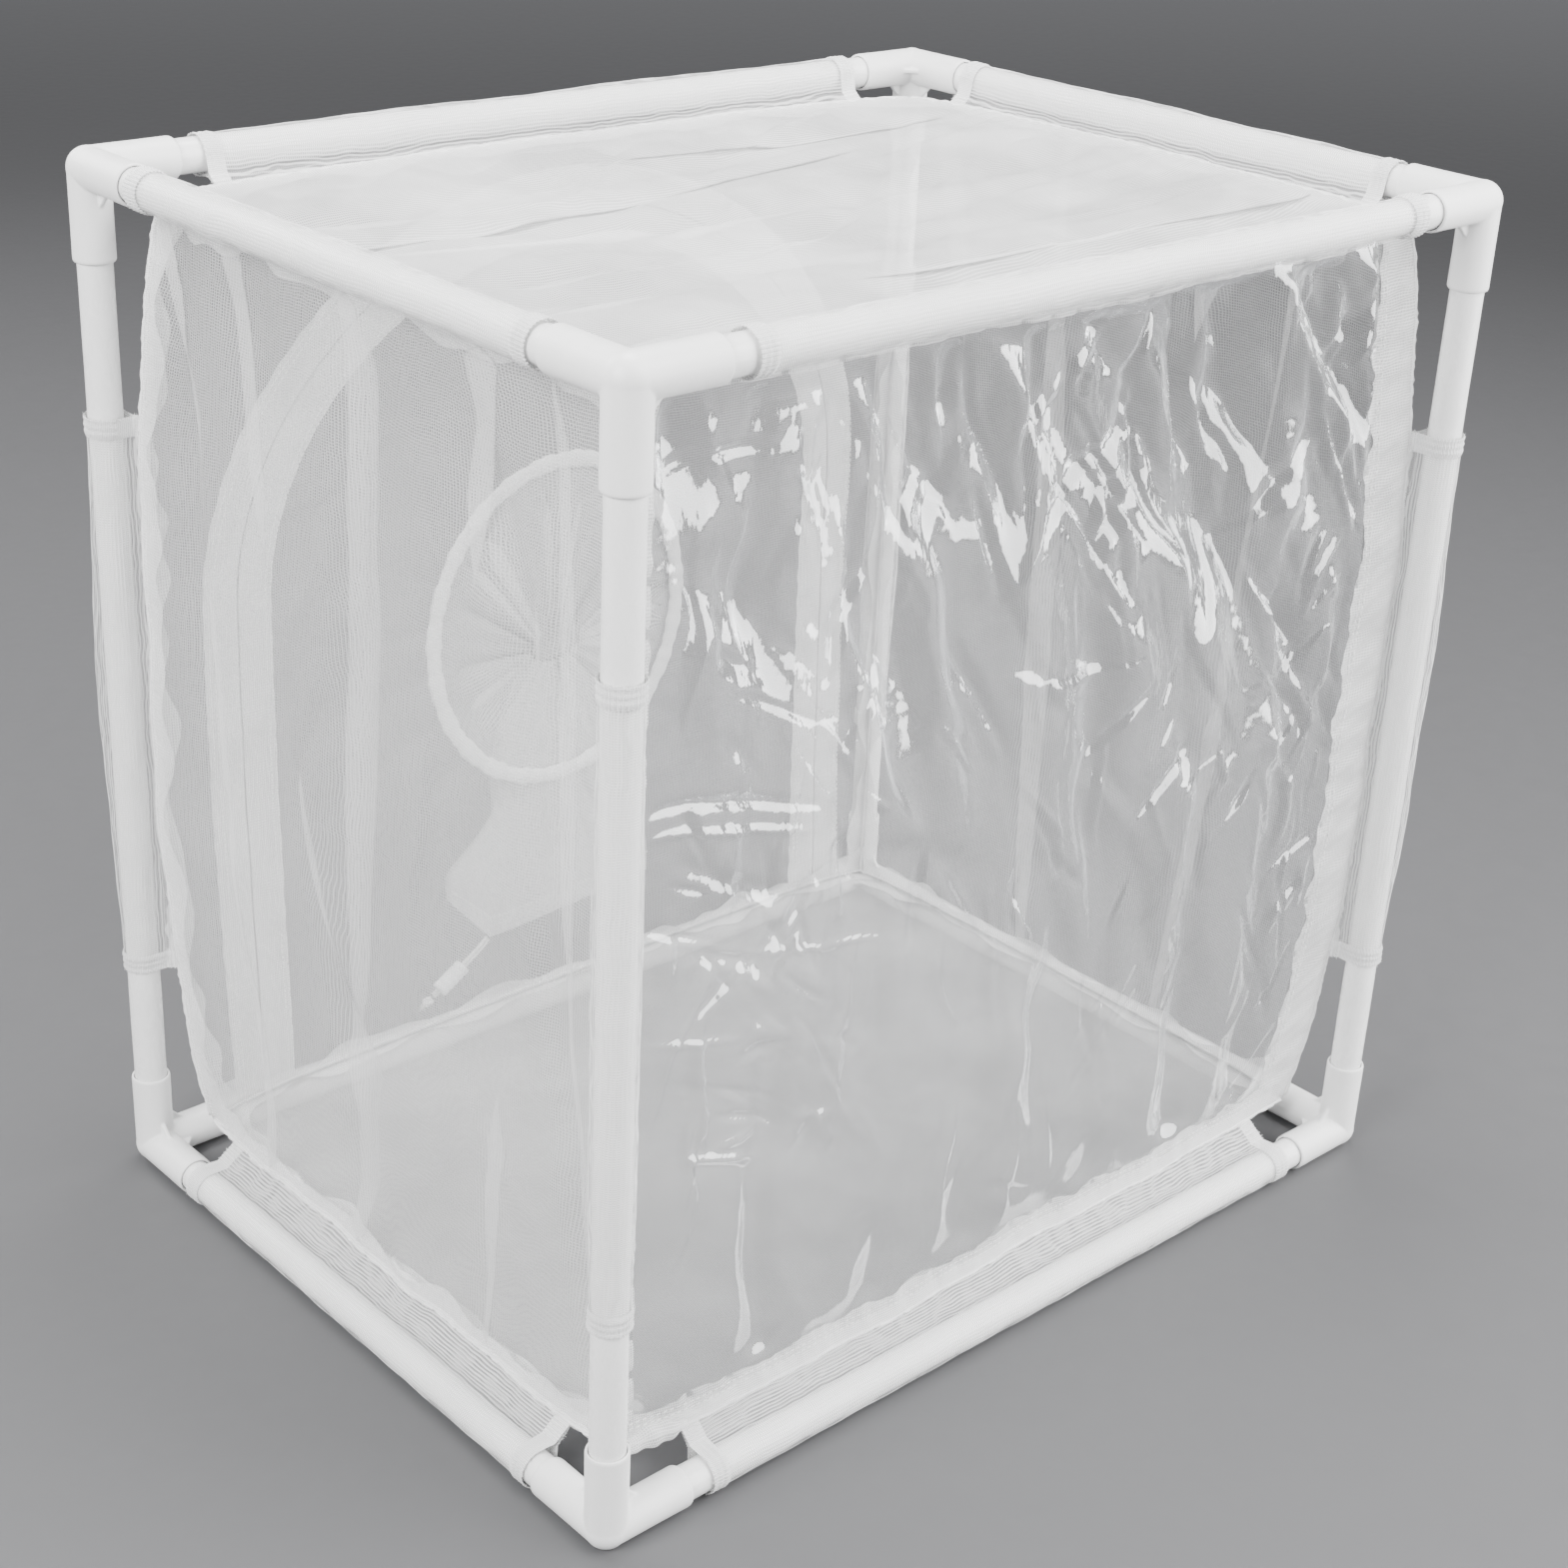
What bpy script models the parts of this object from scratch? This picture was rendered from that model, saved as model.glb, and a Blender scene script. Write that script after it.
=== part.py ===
"""Insect cage: a push-together pipe frame that carries a net tent.

The tent hangs from the pipes in twelve sewn sleeves. Its front is a clear film window, and its
rear has an arched zip door with a round hand port, whose drawstring sleeve hangs down outside.

Units are metres. The origin is the middle of the footprint, on the surface that the cage stands
on. +Z is up, the window faces -Y and the zip door faces +Y.
"""

import math

import bmesh
import bpy
from mathutils import Matrix, Vector

# Pipe frame, between pipe centre lines
WIDTH = 0.500
DEPTH = 0.373
HEIGHT = 0.500
AXIS_HEIGHT = 0.0092
PIPE_RADIUS = 0.0080
PIPE_WALL = 0.0013
ROUND_SIDES = 16
FIT_GAP = 0.0003

# Corner fittings
SOCKET_RADIUS = 0.0095
SOCKET_REACH = 0.041
SOCKET_STOP = 0.017
MOUTH_CHAMFER = 0.0007
KNUCKLE_RADIUS = 0.0097
WEB_LEG = 0.0070
WEB_BITE = 0.0006
WEB_THICKNESS = 0.0020

# Pipe sleeves
SLEEVE_RADIUS = 0.0089
SLEEVE_BORE = 0.00845
SLEEVE_STRIP = 0.0012
SLEEVE_THROAT = 0.0133
SLEEVE_LENGTHS = {"X": 0.395, "Y": 0.280, "Z": 0.285}
POST_SLEEVE_DROP = 0.0035

# Tent, inset from the pipe centre lines
SIDE_INSET = 0.012
TOP_INSET = 0.011
BOTTOM_INSET = 0.016
CLOTH = 0.0008
FILM = 0.0006
SEAM_GAP = 0.0008

# Window border strips
BORDER_LEFT = 0.008
BORDER_RIGHT = 0.030
BORDER_BOTTOM = 0.014
BORDER_TOP = 0.012

# Zip door: an arch of half an ellipse on straight legs
ARCH_HALF_WIDTH = 0.193
ARCH_RISE = 0.176
ARCH_SPRING = 0.289
ARCH_STEPS = 20
DOOR_FOOT = 0.0272
DOOR_CLEARANCE = 0.0010
TAPE_WIDTH = 0.0185
TAPE_LIFT = 0.0011
COIL_OFFSET = 0.0011
COIL_RADIUS = 0.0009
COIL_LIFT = 0.0028
COIL_FOOT = 0.034

# Zip slider and pull tab, on the outside of the left leg
SLIDER_HEIGHT = 0.197
SLIDER_SIZE = (0.0080, 0.0022, 0.0110)
SLIDER_LIFT = 0.0052
BAIL_HALF_HEIGHT = 0.0022
BAIL_RISE = 0.0030
BAIL_WIRE = 0.0006
TAB_SIZE = (0.0070, 0.0010, 0.0150)
TAB_BAR = 0.0012
TAB_SLOT = (0.0042, 0.0036)

# Hand port and its sleeve; lifts are distances outwards from the rear net
PORT_HEIGHT = 0.243
PORT_RADIUS = 0.088
PORT_BORE = 0.082
PORT_THICKNESS = 0.0026
SOCK_START_RADIUS = 0.083
SOCK_START_LIFT = 0.0022
SOCK_CLOTH = 0.0009
SOCK_SIDES = 18
NECK_HALF_WIDTH = 0.038
NECK_HALF_DEPTH = 0.0040
NECK_LIFT = 0.0100
NECK_HEIGHT = 0.141
NECK_GAP = 0.0055
HOOD_BULGE = 0.0110
HOOD_ROWS = 5
TAIL_ROWS = 4
TAIL_SWELL = 0.0033
CUFF_HALF_WIDTH = 0.070
CUFF_HALF_DEPTH = 0.0036
CUFF_LIFT = 0.0075
LIP_X = -0.043
LIP_HEIGHT = 0.063
LIP_LEFT_SLOPE = 1.15
LIP_RIGHT_SLOPE = 0.06

# Drawcord: two strands side by side, from the cuff through the stopper to the knot.
# The route's points are (x, lift, z); its last stretch is straight and carries the stopper.
CORD_RADIUS = 0.0010
CORD_SPREAD = 0.00115
CORD_ROUTE = (
    (-0.0430, 0.0075, 0.0612),
    (-0.0470, 0.0068, 0.0585),
    (-0.0515, 0.0062, 0.0560),
    (-0.0560, 0.0060, 0.0533),
    (-0.0683, 0.0060, 0.0457),
    (-0.0805, 0.0060, 0.0382),
)
CORD_POINTS = 11
STOPPER_PLACE = 0.015
STOPPER_LENGTH = 0.019
STOPPER_RADIUS = 0.0046
STOPPER_BORE = 0.0025
STOPPER_RIBS = 5
RIB_DEPTH = 0.0005
KNOT_RADIUS = 0.0028
KNOT_LENGTH = 0.0100

HALF_X = WIDTH / 2
HALF_Y = DEPTH / 2
TENT_X = HALF_X - SIDE_INSET
TENT_Y = HALF_Y - SIDE_INSET
TENT_BOTTOM = AXIS_HEIGHT + BOTTOM_INSET
TENT_TOP = AXIS_HEIGHT + HEIGHT - TOP_INSET
TENT_MIDDLE = (TENT_BOTTOM + TENT_TOP) / 2

X = Vector((1, 0, 0))
Y = Vector((0, 1, 0))
Z = Vector((0, 0, 1))

# Folds: place across the panel, lean, depth and half width, all in metres but the lean
LEFT_FOLDS = (
    (0.024, -0.044, 0.0075, 0.012),
    (-0.070, 0.060, 0.0040, 0.018),
    (-0.125, 0.160, 0.0050, 0.013),
    (0.085, -0.050, 0.0035, 0.020),
    (0.132, 0.040, 0.0050, 0.014),
)
RIGHT_FOLDS = (
    (-0.110, 0.050, 0.0050, 0.016),
    (-0.030, -0.060, 0.0035, 0.022),
    (0.045, 0.040, 0.0055, 0.014),
    (0.120, -0.030, 0.0045, 0.018),
)
WINDOW_FOLDS = (
    (0.165, 0.050, 0.0035, 0.012),
    (0.110, 0.120, 0.0030, 0.015),
    (0.040, 0.060, 0.0025, 0.018),
    (-0.040, 0.090, 0.0035, 0.014),
    (-0.105, 0.110, 0.0040, 0.013),
    (-0.170, 0.030, 0.0045, 0.013),
)
TOP_FOLDS = (
    (0.110, 0.050, 0.0030, 0.020),
    (0.035, -0.060, 0.0035, 0.018),
    (-0.045, 0.040, 0.0030, 0.020),
    (-0.115, -0.030, 0.0040, 0.018),
)
TOP_SAG = 0.0060

# Pieces that turn with the door about its foot, and with the hand sleeve about its neck
DOOR_PIECES = ("door_panel", "zip_tape_door", "zip_coil_door", "port_ring", "sock_hood", "zip_slider")
SLEEVE_PIECES = ("sock_tail", "drawcord_upper_strand", "drawcord_lower_strand", "cord_stopper", "cord_knot")


def clear_scene():
    for obj in list(bpy.data.objects):
        bpy.data.objects.remove(obj, do_unlink=True)


def new_collection(name):
    collection = bpy.data.collections.new(name)
    bpy.context.scene.collection.children.link(collection)
    return collection


def material(name, color, roughness, metallic=0.0, alpha=1.0, transmission=0.0):
    made = bpy.data.materials.new(name)
    made.use_nodes = True
    shader = made.node_tree.nodes["Principled BSDF"]
    shader.inputs["Base Color"].default_value = (*color, 1.0)
    shader.inputs["Roughness"].default_value = roughness
    shader.inputs["Metallic"].default_value = metallic
    shader.inputs["Alpha"].default_value = alpha
    shader.inputs["Transmission Weight"].default_value = transmission
    return made


def finish(obj, name, collection, surface):
    """Name an object, give it its material and link it."""
    obj.name = name
    obj.data.materials.clear()
    obj.data.materials.append(surface)
    collection.objects.link(obj)
    return obj


def mesh_object(name, shape):
    """An object from a bmesh, which is freed."""
    mesh = bpy.data.meshes.new(name)
    shape.to_mesh(mesh)
    shape.free()
    return bpy.data.objects.new(name, mesh)


def axes_matrix(right, up, out, place):
    """A matrix whose local X, Y and Z run along the three given directions."""
    turn = Matrix((right, up, out)).transposed().to_4x4()
    return Matrix.Translation(place) @ turn


def box(name, size, place, turn=None):
    shape = bmesh.new()
    bmesh.ops.create_cube(shape, size=1.0)
    bmesh.ops.scale(shape, vec=size, verts=shape.verts)
    obj = mesh_object(name, shape)
    obj.matrix_world = Matrix.Translation(place) @ (turn or Matrix.Identity(4))
    return obj


def turned(name, profile, sides, closed=False):
    """A profile of (radius, height) points turned about the object's own Z."""
    points = [(radius, 0.0, height) for radius, height in profile]
    edges = [(i, i + 1) for i in range(len(points) - 1)]
    if closed:
        edges.append((len(points) - 1, 0))
    mesh = bpy.data.meshes.new(name)
    mesh.from_pydata(points, edges, [])
    obj = bpy.data.objects.new(name, mesh)
    screw = obj.modifiers.new("Turn", "SCREW")
    screw.axis = "Z"
    screw.steps = sides
    screw.render_steps = sides
    screw.use_merge_vertices = True
    screw.merge_threshold = 0.00001
    screw.use_smooth_shade = True
    return obj


def flat_outline(name, outlines, thickness):
    """Flat outlines in the object's XY plane, the later ones as holes, given a thickness."""
    curve = bpy.data.curves.new(name, "CURVE")
    curve.dimensions = "2D"
    curve.fill_mode = "BOTH"
    curve.extrude = thickness / 2
    for outline in outlines:
        spline = curve.splines.new("POLY")
        spline.points.add(len(outline) - 1)
        for point, (across, along) in zip(spline.points, outline):
            point.co = (across, along, 0.0, 1.0)
        spline.use_cyclic_u = True
    return bpy.data.objects.new(name, curve)


def tube(name, points, radius, resolution):
    """A round tube along the points, with closed ends."""
    curve = bpy.data.curves.new(name, "CURVE")
    curve.dimensions = "3D"
    curve.bevel_depth = radius
    curve.bevel_resolution = resolution
    curve.use_fill_caps = True
    spline = curve.splines.new("POLY")
    spline.points.add(len(points) - 1)
    for point, place in zip(spline.points, points):
        point.co = (*place, 1.0)
    return bpy.data.objects.new(name, curve)


def circle(radius, count, center=(0.0, 0.0)):
    turns = [2 * math.pi * i / count for i in range(count)]
    return [(center[0] + radius * math.cos(a), center[1] + radius * math.sin(a)) for a in turns]


def helper(obj, collection):
    """Keep an object as a cutter or a guide only."""
    obj.hide_render = True
    obj.display_type = "WIRE"
    collection.objects.link(obj)
    return obj


def boolean(obj, operation, other):
    modifier = obj.modifiers.new(operation.title(), "BOOLEAN")
    modifier.operation = operation
    modifier.solver = "EXACT"
    modifier.object = other


def evaluated_mesh(obj, name):
    graph = bpy.context.evaluated_depsgraph_get()
    mesh = bpy.data.meshes.new_from_object(obj.evaluated_get(graph))
    mesh.name = name
    mesh.shade_smooth()
    mesh.set_sharp_from_angle(angle=math.radians(35))
    return mesh


def arm_profile():
    """A socket arm from the corner's centre to its mouth, solid up to the pipe stop."""
    bore = PIPE_RADIUS + FIT_GAP
    return (
        (0.0, SOCKET_STOP),
        (bore, SOCKET_STOP),
        (bore, SOCKET_REACH),
        (SOCKET_RADIUS - MOUTH_CHAMFER, SOCKET_REACH),
        (SOCKET_RADIUS, SOCKET_REACH - MOUTH_CHAMFER),
        (SOCKET_RADIUS, 0.0),
        (0.0, 0.0),
    )


def web(name, normal_turn):
    """A small gusset between two arms: a plate turned 45 degrees, so one side is the brace."""
    outer = (2 * SOCKET_RADIUS + WEB_LEG) / math.sqrt(2)
    inner = (SOCKET_RADIUS - WEB_BITE) * math.sqrt(2)
    span = math.sqrt(2) * (WEB_LEG + 2 * WEB_BITE)
    middle = Vector(((outer + inner) / 2, 0, 0))
    turn = normal_turn @ Matrix.Rotation(math.pi / 4, 4, "Z")
    return box(name, (outer - inner, span, WEB_THICKNESS), turn @ middle, turn)


def fitting_meshes(cutters):
    """The three-way fitting with its arms along +X, +Y and +Z: one mesh plain, one with a foot."""
    to_x = Matrix.Rotation(math.pi / 2, 4, "Y")
    to_y = Matrix.Rotation(-math.pi / 2, 4, "X")
    body = helper(turned("fitting_arm_up", arm_profile(), ROUND_SIDES), cutters)
    parts = []
    for name, turn in (("fitting_arm_x", to_x), ("fitting_arm_y", to_y)):
        arm = helper(turned(name, arm_profile(), ROUND_SIDES), cutters)
        arm.matrix_world = turn
        parts.append(arm)
    shape = bmesh.new()
    half_sides = ROUND_SIDES // 2
    bmesh.ops.create_uvsphere(shape, u_segments=ROUND_SIDES, v_segments=half_sides, radius=KNUCKLE_RADIUS)
    parts.append(helper(mesh_object("fitting_knuckle", shape), cutters))
    quarter = math.pi / 2
    webs = (Matrix.Identity(4), Matrix.Rotation(quarter, 4, "X"), Matrix.Rotation(-quarter, 4, "Y"))
    for number, turn in enumerate(webs):
        parts.append(helper(web(f"fitting_web_{number}", turn), cutters))
    for part in parts:
        boolean(body, "UNION", part)
    bpy.context.view_layer.update()
    plain = evaluated_mesh(body, "corner_fitting")
    depth = 0.010
    size = (0.2, 0.2, depth)
    foot = helper(box("foot_cutter", size, (0, 0, -AXIS_HEIGHT - depth / 2)), cutters)
    boolean(body, "DIFFERENCE", foot)
    bpy.context.view_layer.update()
    return plain, evaluated_mesh(body, "corner_fitting_foot")


def corners():
    """(name, x sign, y sign) of the four uprights."""
    for y_name, y_sign in (("front", -1), ("rear", 1)):
        for x_name, x_sign in (("left", -1), ("right", 1)):
            yield f"{y_name}_{x_name}", x_sign, y_sign


def make_fittings(parts, cutters, surface):
    """Each fitting is the +X +Y +Z one, turned so that its arms point into the frame."""
    plain, footed = fitting_meshes(cutters)
    quarter_turns = {(-1, -1): 0, (1, -1): 1, (1, 1): 2, (-1, 1): 3}
    for name, x_sign, y_sign in corners():
        place = Vector((x_sign * HALF_X, y_sign * HALF_Y, AXIS_HEIGHT))
        turn = Matrix.Rotation(quarter_turns[(x_sign, y_sign)] * math.pi / 2, 4, "Z")
        bottom = bpy.data.objects.new("fitting", footed)
        bottom.matrix_world = Matrix.Translation(place) @ turn
        finish(bottom, f"fitting_{name}_bottom", parts, surface)
        over = Matrix.Rotation(math.pi, 4, "X")
        lead = Matrix.Rotation((quarter_turns[(x_sign, y_sign)] + 1) * math.pi / 2, 4, "Z")
        top = bpy.data.objects.new("fitting", plain)
        top.matrix_world = Matrix.Translation(place + Z * HEIGHT) @ lead @ over
        finish(top, f"fitting_{name}_top", parts, surface)


def frame_edges():
    """(name, kind, centre, direction, way to the tent's edge) of the twelve pipes."""
    for level, z_place, z_in in (("bottom", 0.0, BOTTOM_INSET), ("top", HEIGHT, -TOP_INSET)):
        height = AXIS_HEIGHT + z_place
        for name, sign in (("front", -1), ("rear", 1)):
            inward = Vector((0, -sign * SIDE_INSET, z_in))
            yield f"{name}_{level}", "X", Vector((0, sign * HALF_Y, height)), X, inward
        for name, sign in (("left", -1), ("right", 1)):
            inward = Vector((-sign * SIDE_INSET, 0, z_in))
            yield f"{name}_{level}", "Y", Vector((sign * HALF_X, 0, height)), Y, inward
    for name, x_sign, y_sign in corners():
        inward = Vector((-x_sign * SIDE_INSET, -y_sign * SIDE_INSET, 0))
        place = Vector((x_sign * HALF_X, y_sign * HALF_Y, AXIS_HEIGHT + HEIGHT / 2))
        yield f"post_{name}", "Z", place, Z, inward


def pipe_length(kind):
    span = {"X": WIDTH, "Y": DEPTH, "Z": HEIGHT}[kind]
    return span - 2 * (SOCKET_STOP + FIT_GAP)


def make_pipes(parts, surface):
    upright = {"X": Matrix.Rotation(math.pi / 2, 4, "Y"), "Y": Matrix.Rotation(-math.pi / 2, 4, "X")}
    inner = PIPE_RADIUS - PIPE_WALL
    for name, kind, place, _, _ in frame_edges():
        half = pipe_length(kind) / 2
        profile = ((inner, -half), (inner, half), (PIPE_RADIUS, half), (PIPE_RADIUS, -half))
        pipe = turned("pipe", profile, ROUND_SIDES, closed=True)
        pipe.matrix_world = Matrix.Translation(place) @ upright.get(kind, Matrix.Identity(4))
        finish(pipe, name if kind == "Z" else f"pipe_{name}", parts, surface)


def sleeve_outline(reach):
    """Cloth round the pipe, closing to a flat double strip that ends at the tent's edge."""
    first = math.radians(40)
    steps = 12
    turns = [first + (2 * math.pi - 2 * first) * i / steps for i in range(steps + 1)]
    arc = [(SLEEVE_RADIUS * math.cos(a), SLEEVE_RADIUS * math.sin(a)) for a in turns]
    half = SLEEVE_STRIP / 2
    return [(reach, half), (SLEEVE_THROAT, half), *arc, (SLEEVE_THROAT, -half), (reach, -half)]


def make_sleeves(parts, surface):
    for name, kind, place, along, inward in frame_edges():
        outline = sleeve_outline(inward.length - SEAM_GAP)
        bore = circle(SLEEVE_BORE, ROUND_SIDES)
        sleeve = flat_outline("sleeve", (outline, bore), SLEEVE_LENGTHS[kind])
        out = inward.normalized()
        drop = POST_SLEEVE_DROP if kind == "Z" else 0.0
        sleeve.matrix_world = axes_matrix(out, along.cross(out), along, place - Z * drop)
        finish(sleeve, f"sleeve_{name}", parts, surface)


def fade(distance, reach):
    """0 at a sewn edge, rising smoothly to 1 at the given distance from it."""
    part = min(max(distance / reach, 0.0), 1.0)
    return part * part * (3 - 2 * part)


def folded(across, along, folds):
    """Depth of a set of long folds at a point of the panel."""
    depth = 0.0
    for place, lean, height, half_width in folds:
        offset = (across - place - lean * along) / half_width
        depth += height * math.exp(-offset * offset)
    return depth


def panel(name, size, cells, depth_at, place, thickness):
    """A hung panel: a grid whose points move inwards by depth_at, flat at its sewn edges."""
    shape = bmesh.new()
    bmesh.ops.create_grid(shape, x_segments=cells[0], y_segments=cells[1], size=0.5)
    for vertex in shape.verts:
        across = vertex.co.x * size[0]
        along = vertex.co.y * size[1]
        side = fade(size[0] / 2 - abs(across), 0.035)
        end = fade(size[1] / 2 - abs(along), 0.060)
        vertex.co = (across, along, depth_at(across, along) * side * end)
    obj = mesh_object(name, shape)
    solidify = obj.modifiers.new("Cloth", "SOLIDIFY")
    solidify.thickness = thickness
    solidify.offset = 0.0
    obj.matrix_world = place
    return obj


def make_nets(parts, net, floor_net):
    wide = 2 * (TENT_X - SEAM_GAP)
    deep = 2 * (TENT_Y - SEAM_GAP)
    tall = TENT_TOP - TENT_BOTTOM - 2 * SEAM_GAP
    left = axes_matrix(Y, Z, X, (-TENT_X, 0, TENT_MIDDLE))
    right = axes_matrix(-Y, Z, -X, (TENT_X, 0, TENT_MIDDLE))
    top = axes_matrix(Y, X, -Z, (0, 0, TENT_TOP))
    floor = axes_matrix(X, Y, Z, (0, 0, TENT_BOTTOM))

    def top_depth(across, along):
        reach = (2 * across / deep) ** 2 + (2 * along / wide) ** 2
        return TOP_SAG * max(0.0, 1 - reach) + folded(across, along, TOP_FOLDS)

    def left_depth(across, along):
        return folded(across, along, LEFT_FOLDS)

    def right_depth(across, along):
        return folded(across, along, RIGHT_FOLDS)

    def floor_depth(across, along):
        return 0.0

    finish(panel("net", (deep, tall), (22, 5), left_depth, left, CLOTH), "net_left", parts, net)
    finish(panel("net", (deep, tall), (20, 5), right_depth, right, CLOTH), "net_right", parts, net)
    finish(panel("net", (deep, wide), (18, 6), top_depth, top, CLOTH), "net_top", parts, net)
    finish(panel("net", (wide, deep), (1, 1), floor_depth, floor, CLOTH), "floor_sheet", parts, floor_net)


def make_window(parts, film, net):
    """The clear film and the net strips that it is sewn to, in the front plane."""
    edge_x = TENT_X - SEAM_GAP
    low = TENT_BOTTOM + SEAM_GAP
    high = TENT_TOP - SEAM_GAP
    film_left = -edge_x + BORDER_LEFT
    film_right = edge_x - BORDER_RIGHT
    film_low = low + BORDER_BOTTOM
    film_high = high - BORDER_TOP
    middle = (film_low + film_high) / 2
    size = (film_right - film_left - 2 * FIT_GAP, film_high - film_low - 2 * FIT_GAP)
    place = axes_matrix(-X, Z, Y, ((film_left + film_right) / 2, -TENT_Y, middle))

    def depth(across, along):
        return folded(across, along, WINDOW_FOLDS)

    finish(panel("film", size, (30, 5), depth, place, FILM), "window_film", parts, film)
    height = film_high - film_low
    strips = (
        ("bottom", 2 * edge_x, BORDER_BOTTOM - FIT_GAP, 0.0, low + BORDER_BOTTOM / 2),
        ("top", 2 * edge_x, BORDER_TOP - FIT_GAP, 0.0, high - BORDER_TOP / 2),
        ("left", BORDER_LEFT, height - 2 * FIT_GAP, film_left - BORDER_LEFT / 2, middle),
        ("right", BORDER_RIGHT, height - 2 * FIT_GAP, film_right + BORDER_RIGHT / 2, middle),
    )
    for name, wide, tall, x_place, z_place in strips:
        strip = box("strip", (wide, CLOTH, tall), (x_place, -TENT_Y, z_place))
        finish(strip, f"window_border_{name}", parts, net)


def arch(offset, foot):
    """The zip line moved outwards by offset: points from the left foot over to the right foot."""
    half = ARCH_HALF_WIDTH + offset
    rise = ARCH_RISE + offset
    points = [(-half, foot)]
    for i in range(ARCH_STEPS + 1):
        turn = math.pi * i / ARCH_STEPS
        points.append((-half * math.cos(turn), ARCH_SPRING + rise * math.sin(turn)))
    points.append((half, foot))
    return points


def rear_place(lift):
    """Local X and Y in the rear plane, seen from the front, at a distance outwards from the net."""
    return axes_matrix(X, Z, -Y, (0, TENT_Y + lift, 0))


def make_rear(parts, net, binding, tape, coil):
    edge_x = TENT_X - SEAM_GAP
    low = TENT_BOTTOM + SEAM_GAP
    high = TENT_TOP - SEAM_GAP
    cut = list(reversed(arch(DOOR_CLEARANCE, low)))
    outer = [(-edge_x, low), (-edge_x, high), (edge_x, high), (edge_x, low)]
    surround = flat_outline("surround", (outer + cut,), CLOTH)
    surround.matrix_world = rear_place(0.0)
    finish(surround, "rear_surround", parts, net)

    hole = circle(PORT_RADIUS + FIT_GAP, 32, (0.0, PORT_HEIGHT))
    door = flat_outline("door", (arch(-DOOR_CLEARANCE, DOOR_FOOT), hole), CLOTH)
    door.matrix_world = rear_place(0.0)
    finish(door, "door_panel", parts, net)

    sides = (("frame", 1, low), ("door", -1, DOOR_FOOT))
    for name, sign, foot in sides:
        inner_edge = arch(sign * DOOR_CLEARANCE / 3, foot)
        outer_edge = arch(sign * TAPE_WIDTH, foot)
        band = flat_outline("tape", (inner_edge + list(reversed(outer_edge)),), CLOTH)
        band.matrix_world = rear_place(TAPE_LIFT)
        finish(band, f"zip_tape_{name}", parts, tape)
        line = [(x, 0.0, z) for x, z in arch(sign * COIL_OFFSET, COIL_FOOT)]
        teeth = tube("coil", line, COIL_RADIUS, 0)
        teeth.matrix_world = Matrix.Translation((0, TENT_Y + COIL_LIFT, 0))
        finish(teeth, f"zip_coil_{name}", parts, coil)

    half = PORT_THICKNESS / 2
    profile = ((PORT_BORE, -half), (PORT_BORE, half), (PORT_RADIUS, half), (PORT_RADIUS, -half))
    ring = turned("ring", profile, 32, closed=True)
    place = Vector((0, TENT_Y, PORT_HEIGHT))
    ring.matrix_world = Matrix.Translation(place) @ Matrix.Rotation(-math.pi / 2, 4, "X")
    finish(ring, "port_ring", parts, binding)


def loft(name, rings, thickness):
    """A shell through closed rings of points, open at both ends."""
    shape = bmesh.new()
    rows = [[shape.verts.new(point) for point in ring] for ring in rings]
    count = len(rings[0])
    for lower, upper in zip(rows, rows[1:]):
        for i in range(count):
            j = (i + 1) % count
            shape.faces.new((lower[i], lower[j], upper[j], upper[i]))
    bmesh.ops.recalc_face_normals(shape, faces=shape.faces)
    obj = mesh_object(name, shape)
    solidify = obj.modifiers.new("Cloth", "SOLIDIFY")
    solidify.thickness = thickness
    solidify.offset = 0.0
    return obj


def make_sock(parts, net):
    """The port's sleeve: a hood that falls from the ring to a neck, and a tail below it."""
    turns = [2 * math.pi * i / SOCK_SIDES for i in range(SOCK_SIDES)]
    top = NECK_HEIGHT + NECK_GAP
    hood_rings = []
    for row in range(HOOD_ROWS + 1):
        part = row / HOOD_ROWS
        ring = []
        for turn in turns:
            side = math.cos(turn)
            up = math.sin(turn)
            start = Vector((SOCK_START_RADIUS * side, SOCK_START_LIFT, PORT_HEIGHT + SOCK_START_RADIUS * up))
            end = Vector((NECK_HALF_WIDTH * side, NECK_LIFT + NECK_HALF_DEPTH * up, top))
            bulge = HOOD_BULGE * math.sin(math.pi * part ** 0.6) * (1 + up) / 2
            ring.append(start.lerp(end, part) + Y * (TENT_Y + bulge))
        hood_rings.append(ring)
    finish(loft("hood", hood_rings, SOCK_CLOTH), "sock_hood", parts, net)

    tail_rings = []
    start_height = NECK_HEIGHT - NECK_GAP
    for row in range(TAIL_ROWS + 1):
        part = row / TAIL_ROWS
        widen = math.sin(math.pi / 2 * min(1.0, 1.3 * part))
        half_width = NECK_HALF_WIDTH + (CUFF_HALF_WIDTH - NECK_HALF_WIDTH) * widen
        swell = TAIL_SWELL * math.sin(math.pi * part)
        half_depth = NECK_HALF_DEPTH + (CUFF_HALF_DEPTH - NECK_HALF_DEPTH) * part + swell
        lift = NECK_LIFT + (CUFF_LIFT - NECK_LIFT) * part
        ring = []
        for turn in turns:
            side = half_width * math.cos(turn)
            lip = LIP_HEIGHT + LIP_LEFT_SLOPE * max(0.0, LIP_X - side)
            lip += LIP_RIGHT_SLOPE * max(0.0, side - LIP_X)
            height = start_height + (lip - start_height) * part
            ring.append(Vector((side, TENT_Y + lift + half_depth * math.sin(turn), height)))
        tail_rings.append(ring)
    finish(loft("tail", tail_rings, SOCK_CLOTH), "sock_tail", parts, net)


def cord_place(x, lift, z):
    return Vector((x, TENT_Y + lift, z))


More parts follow.
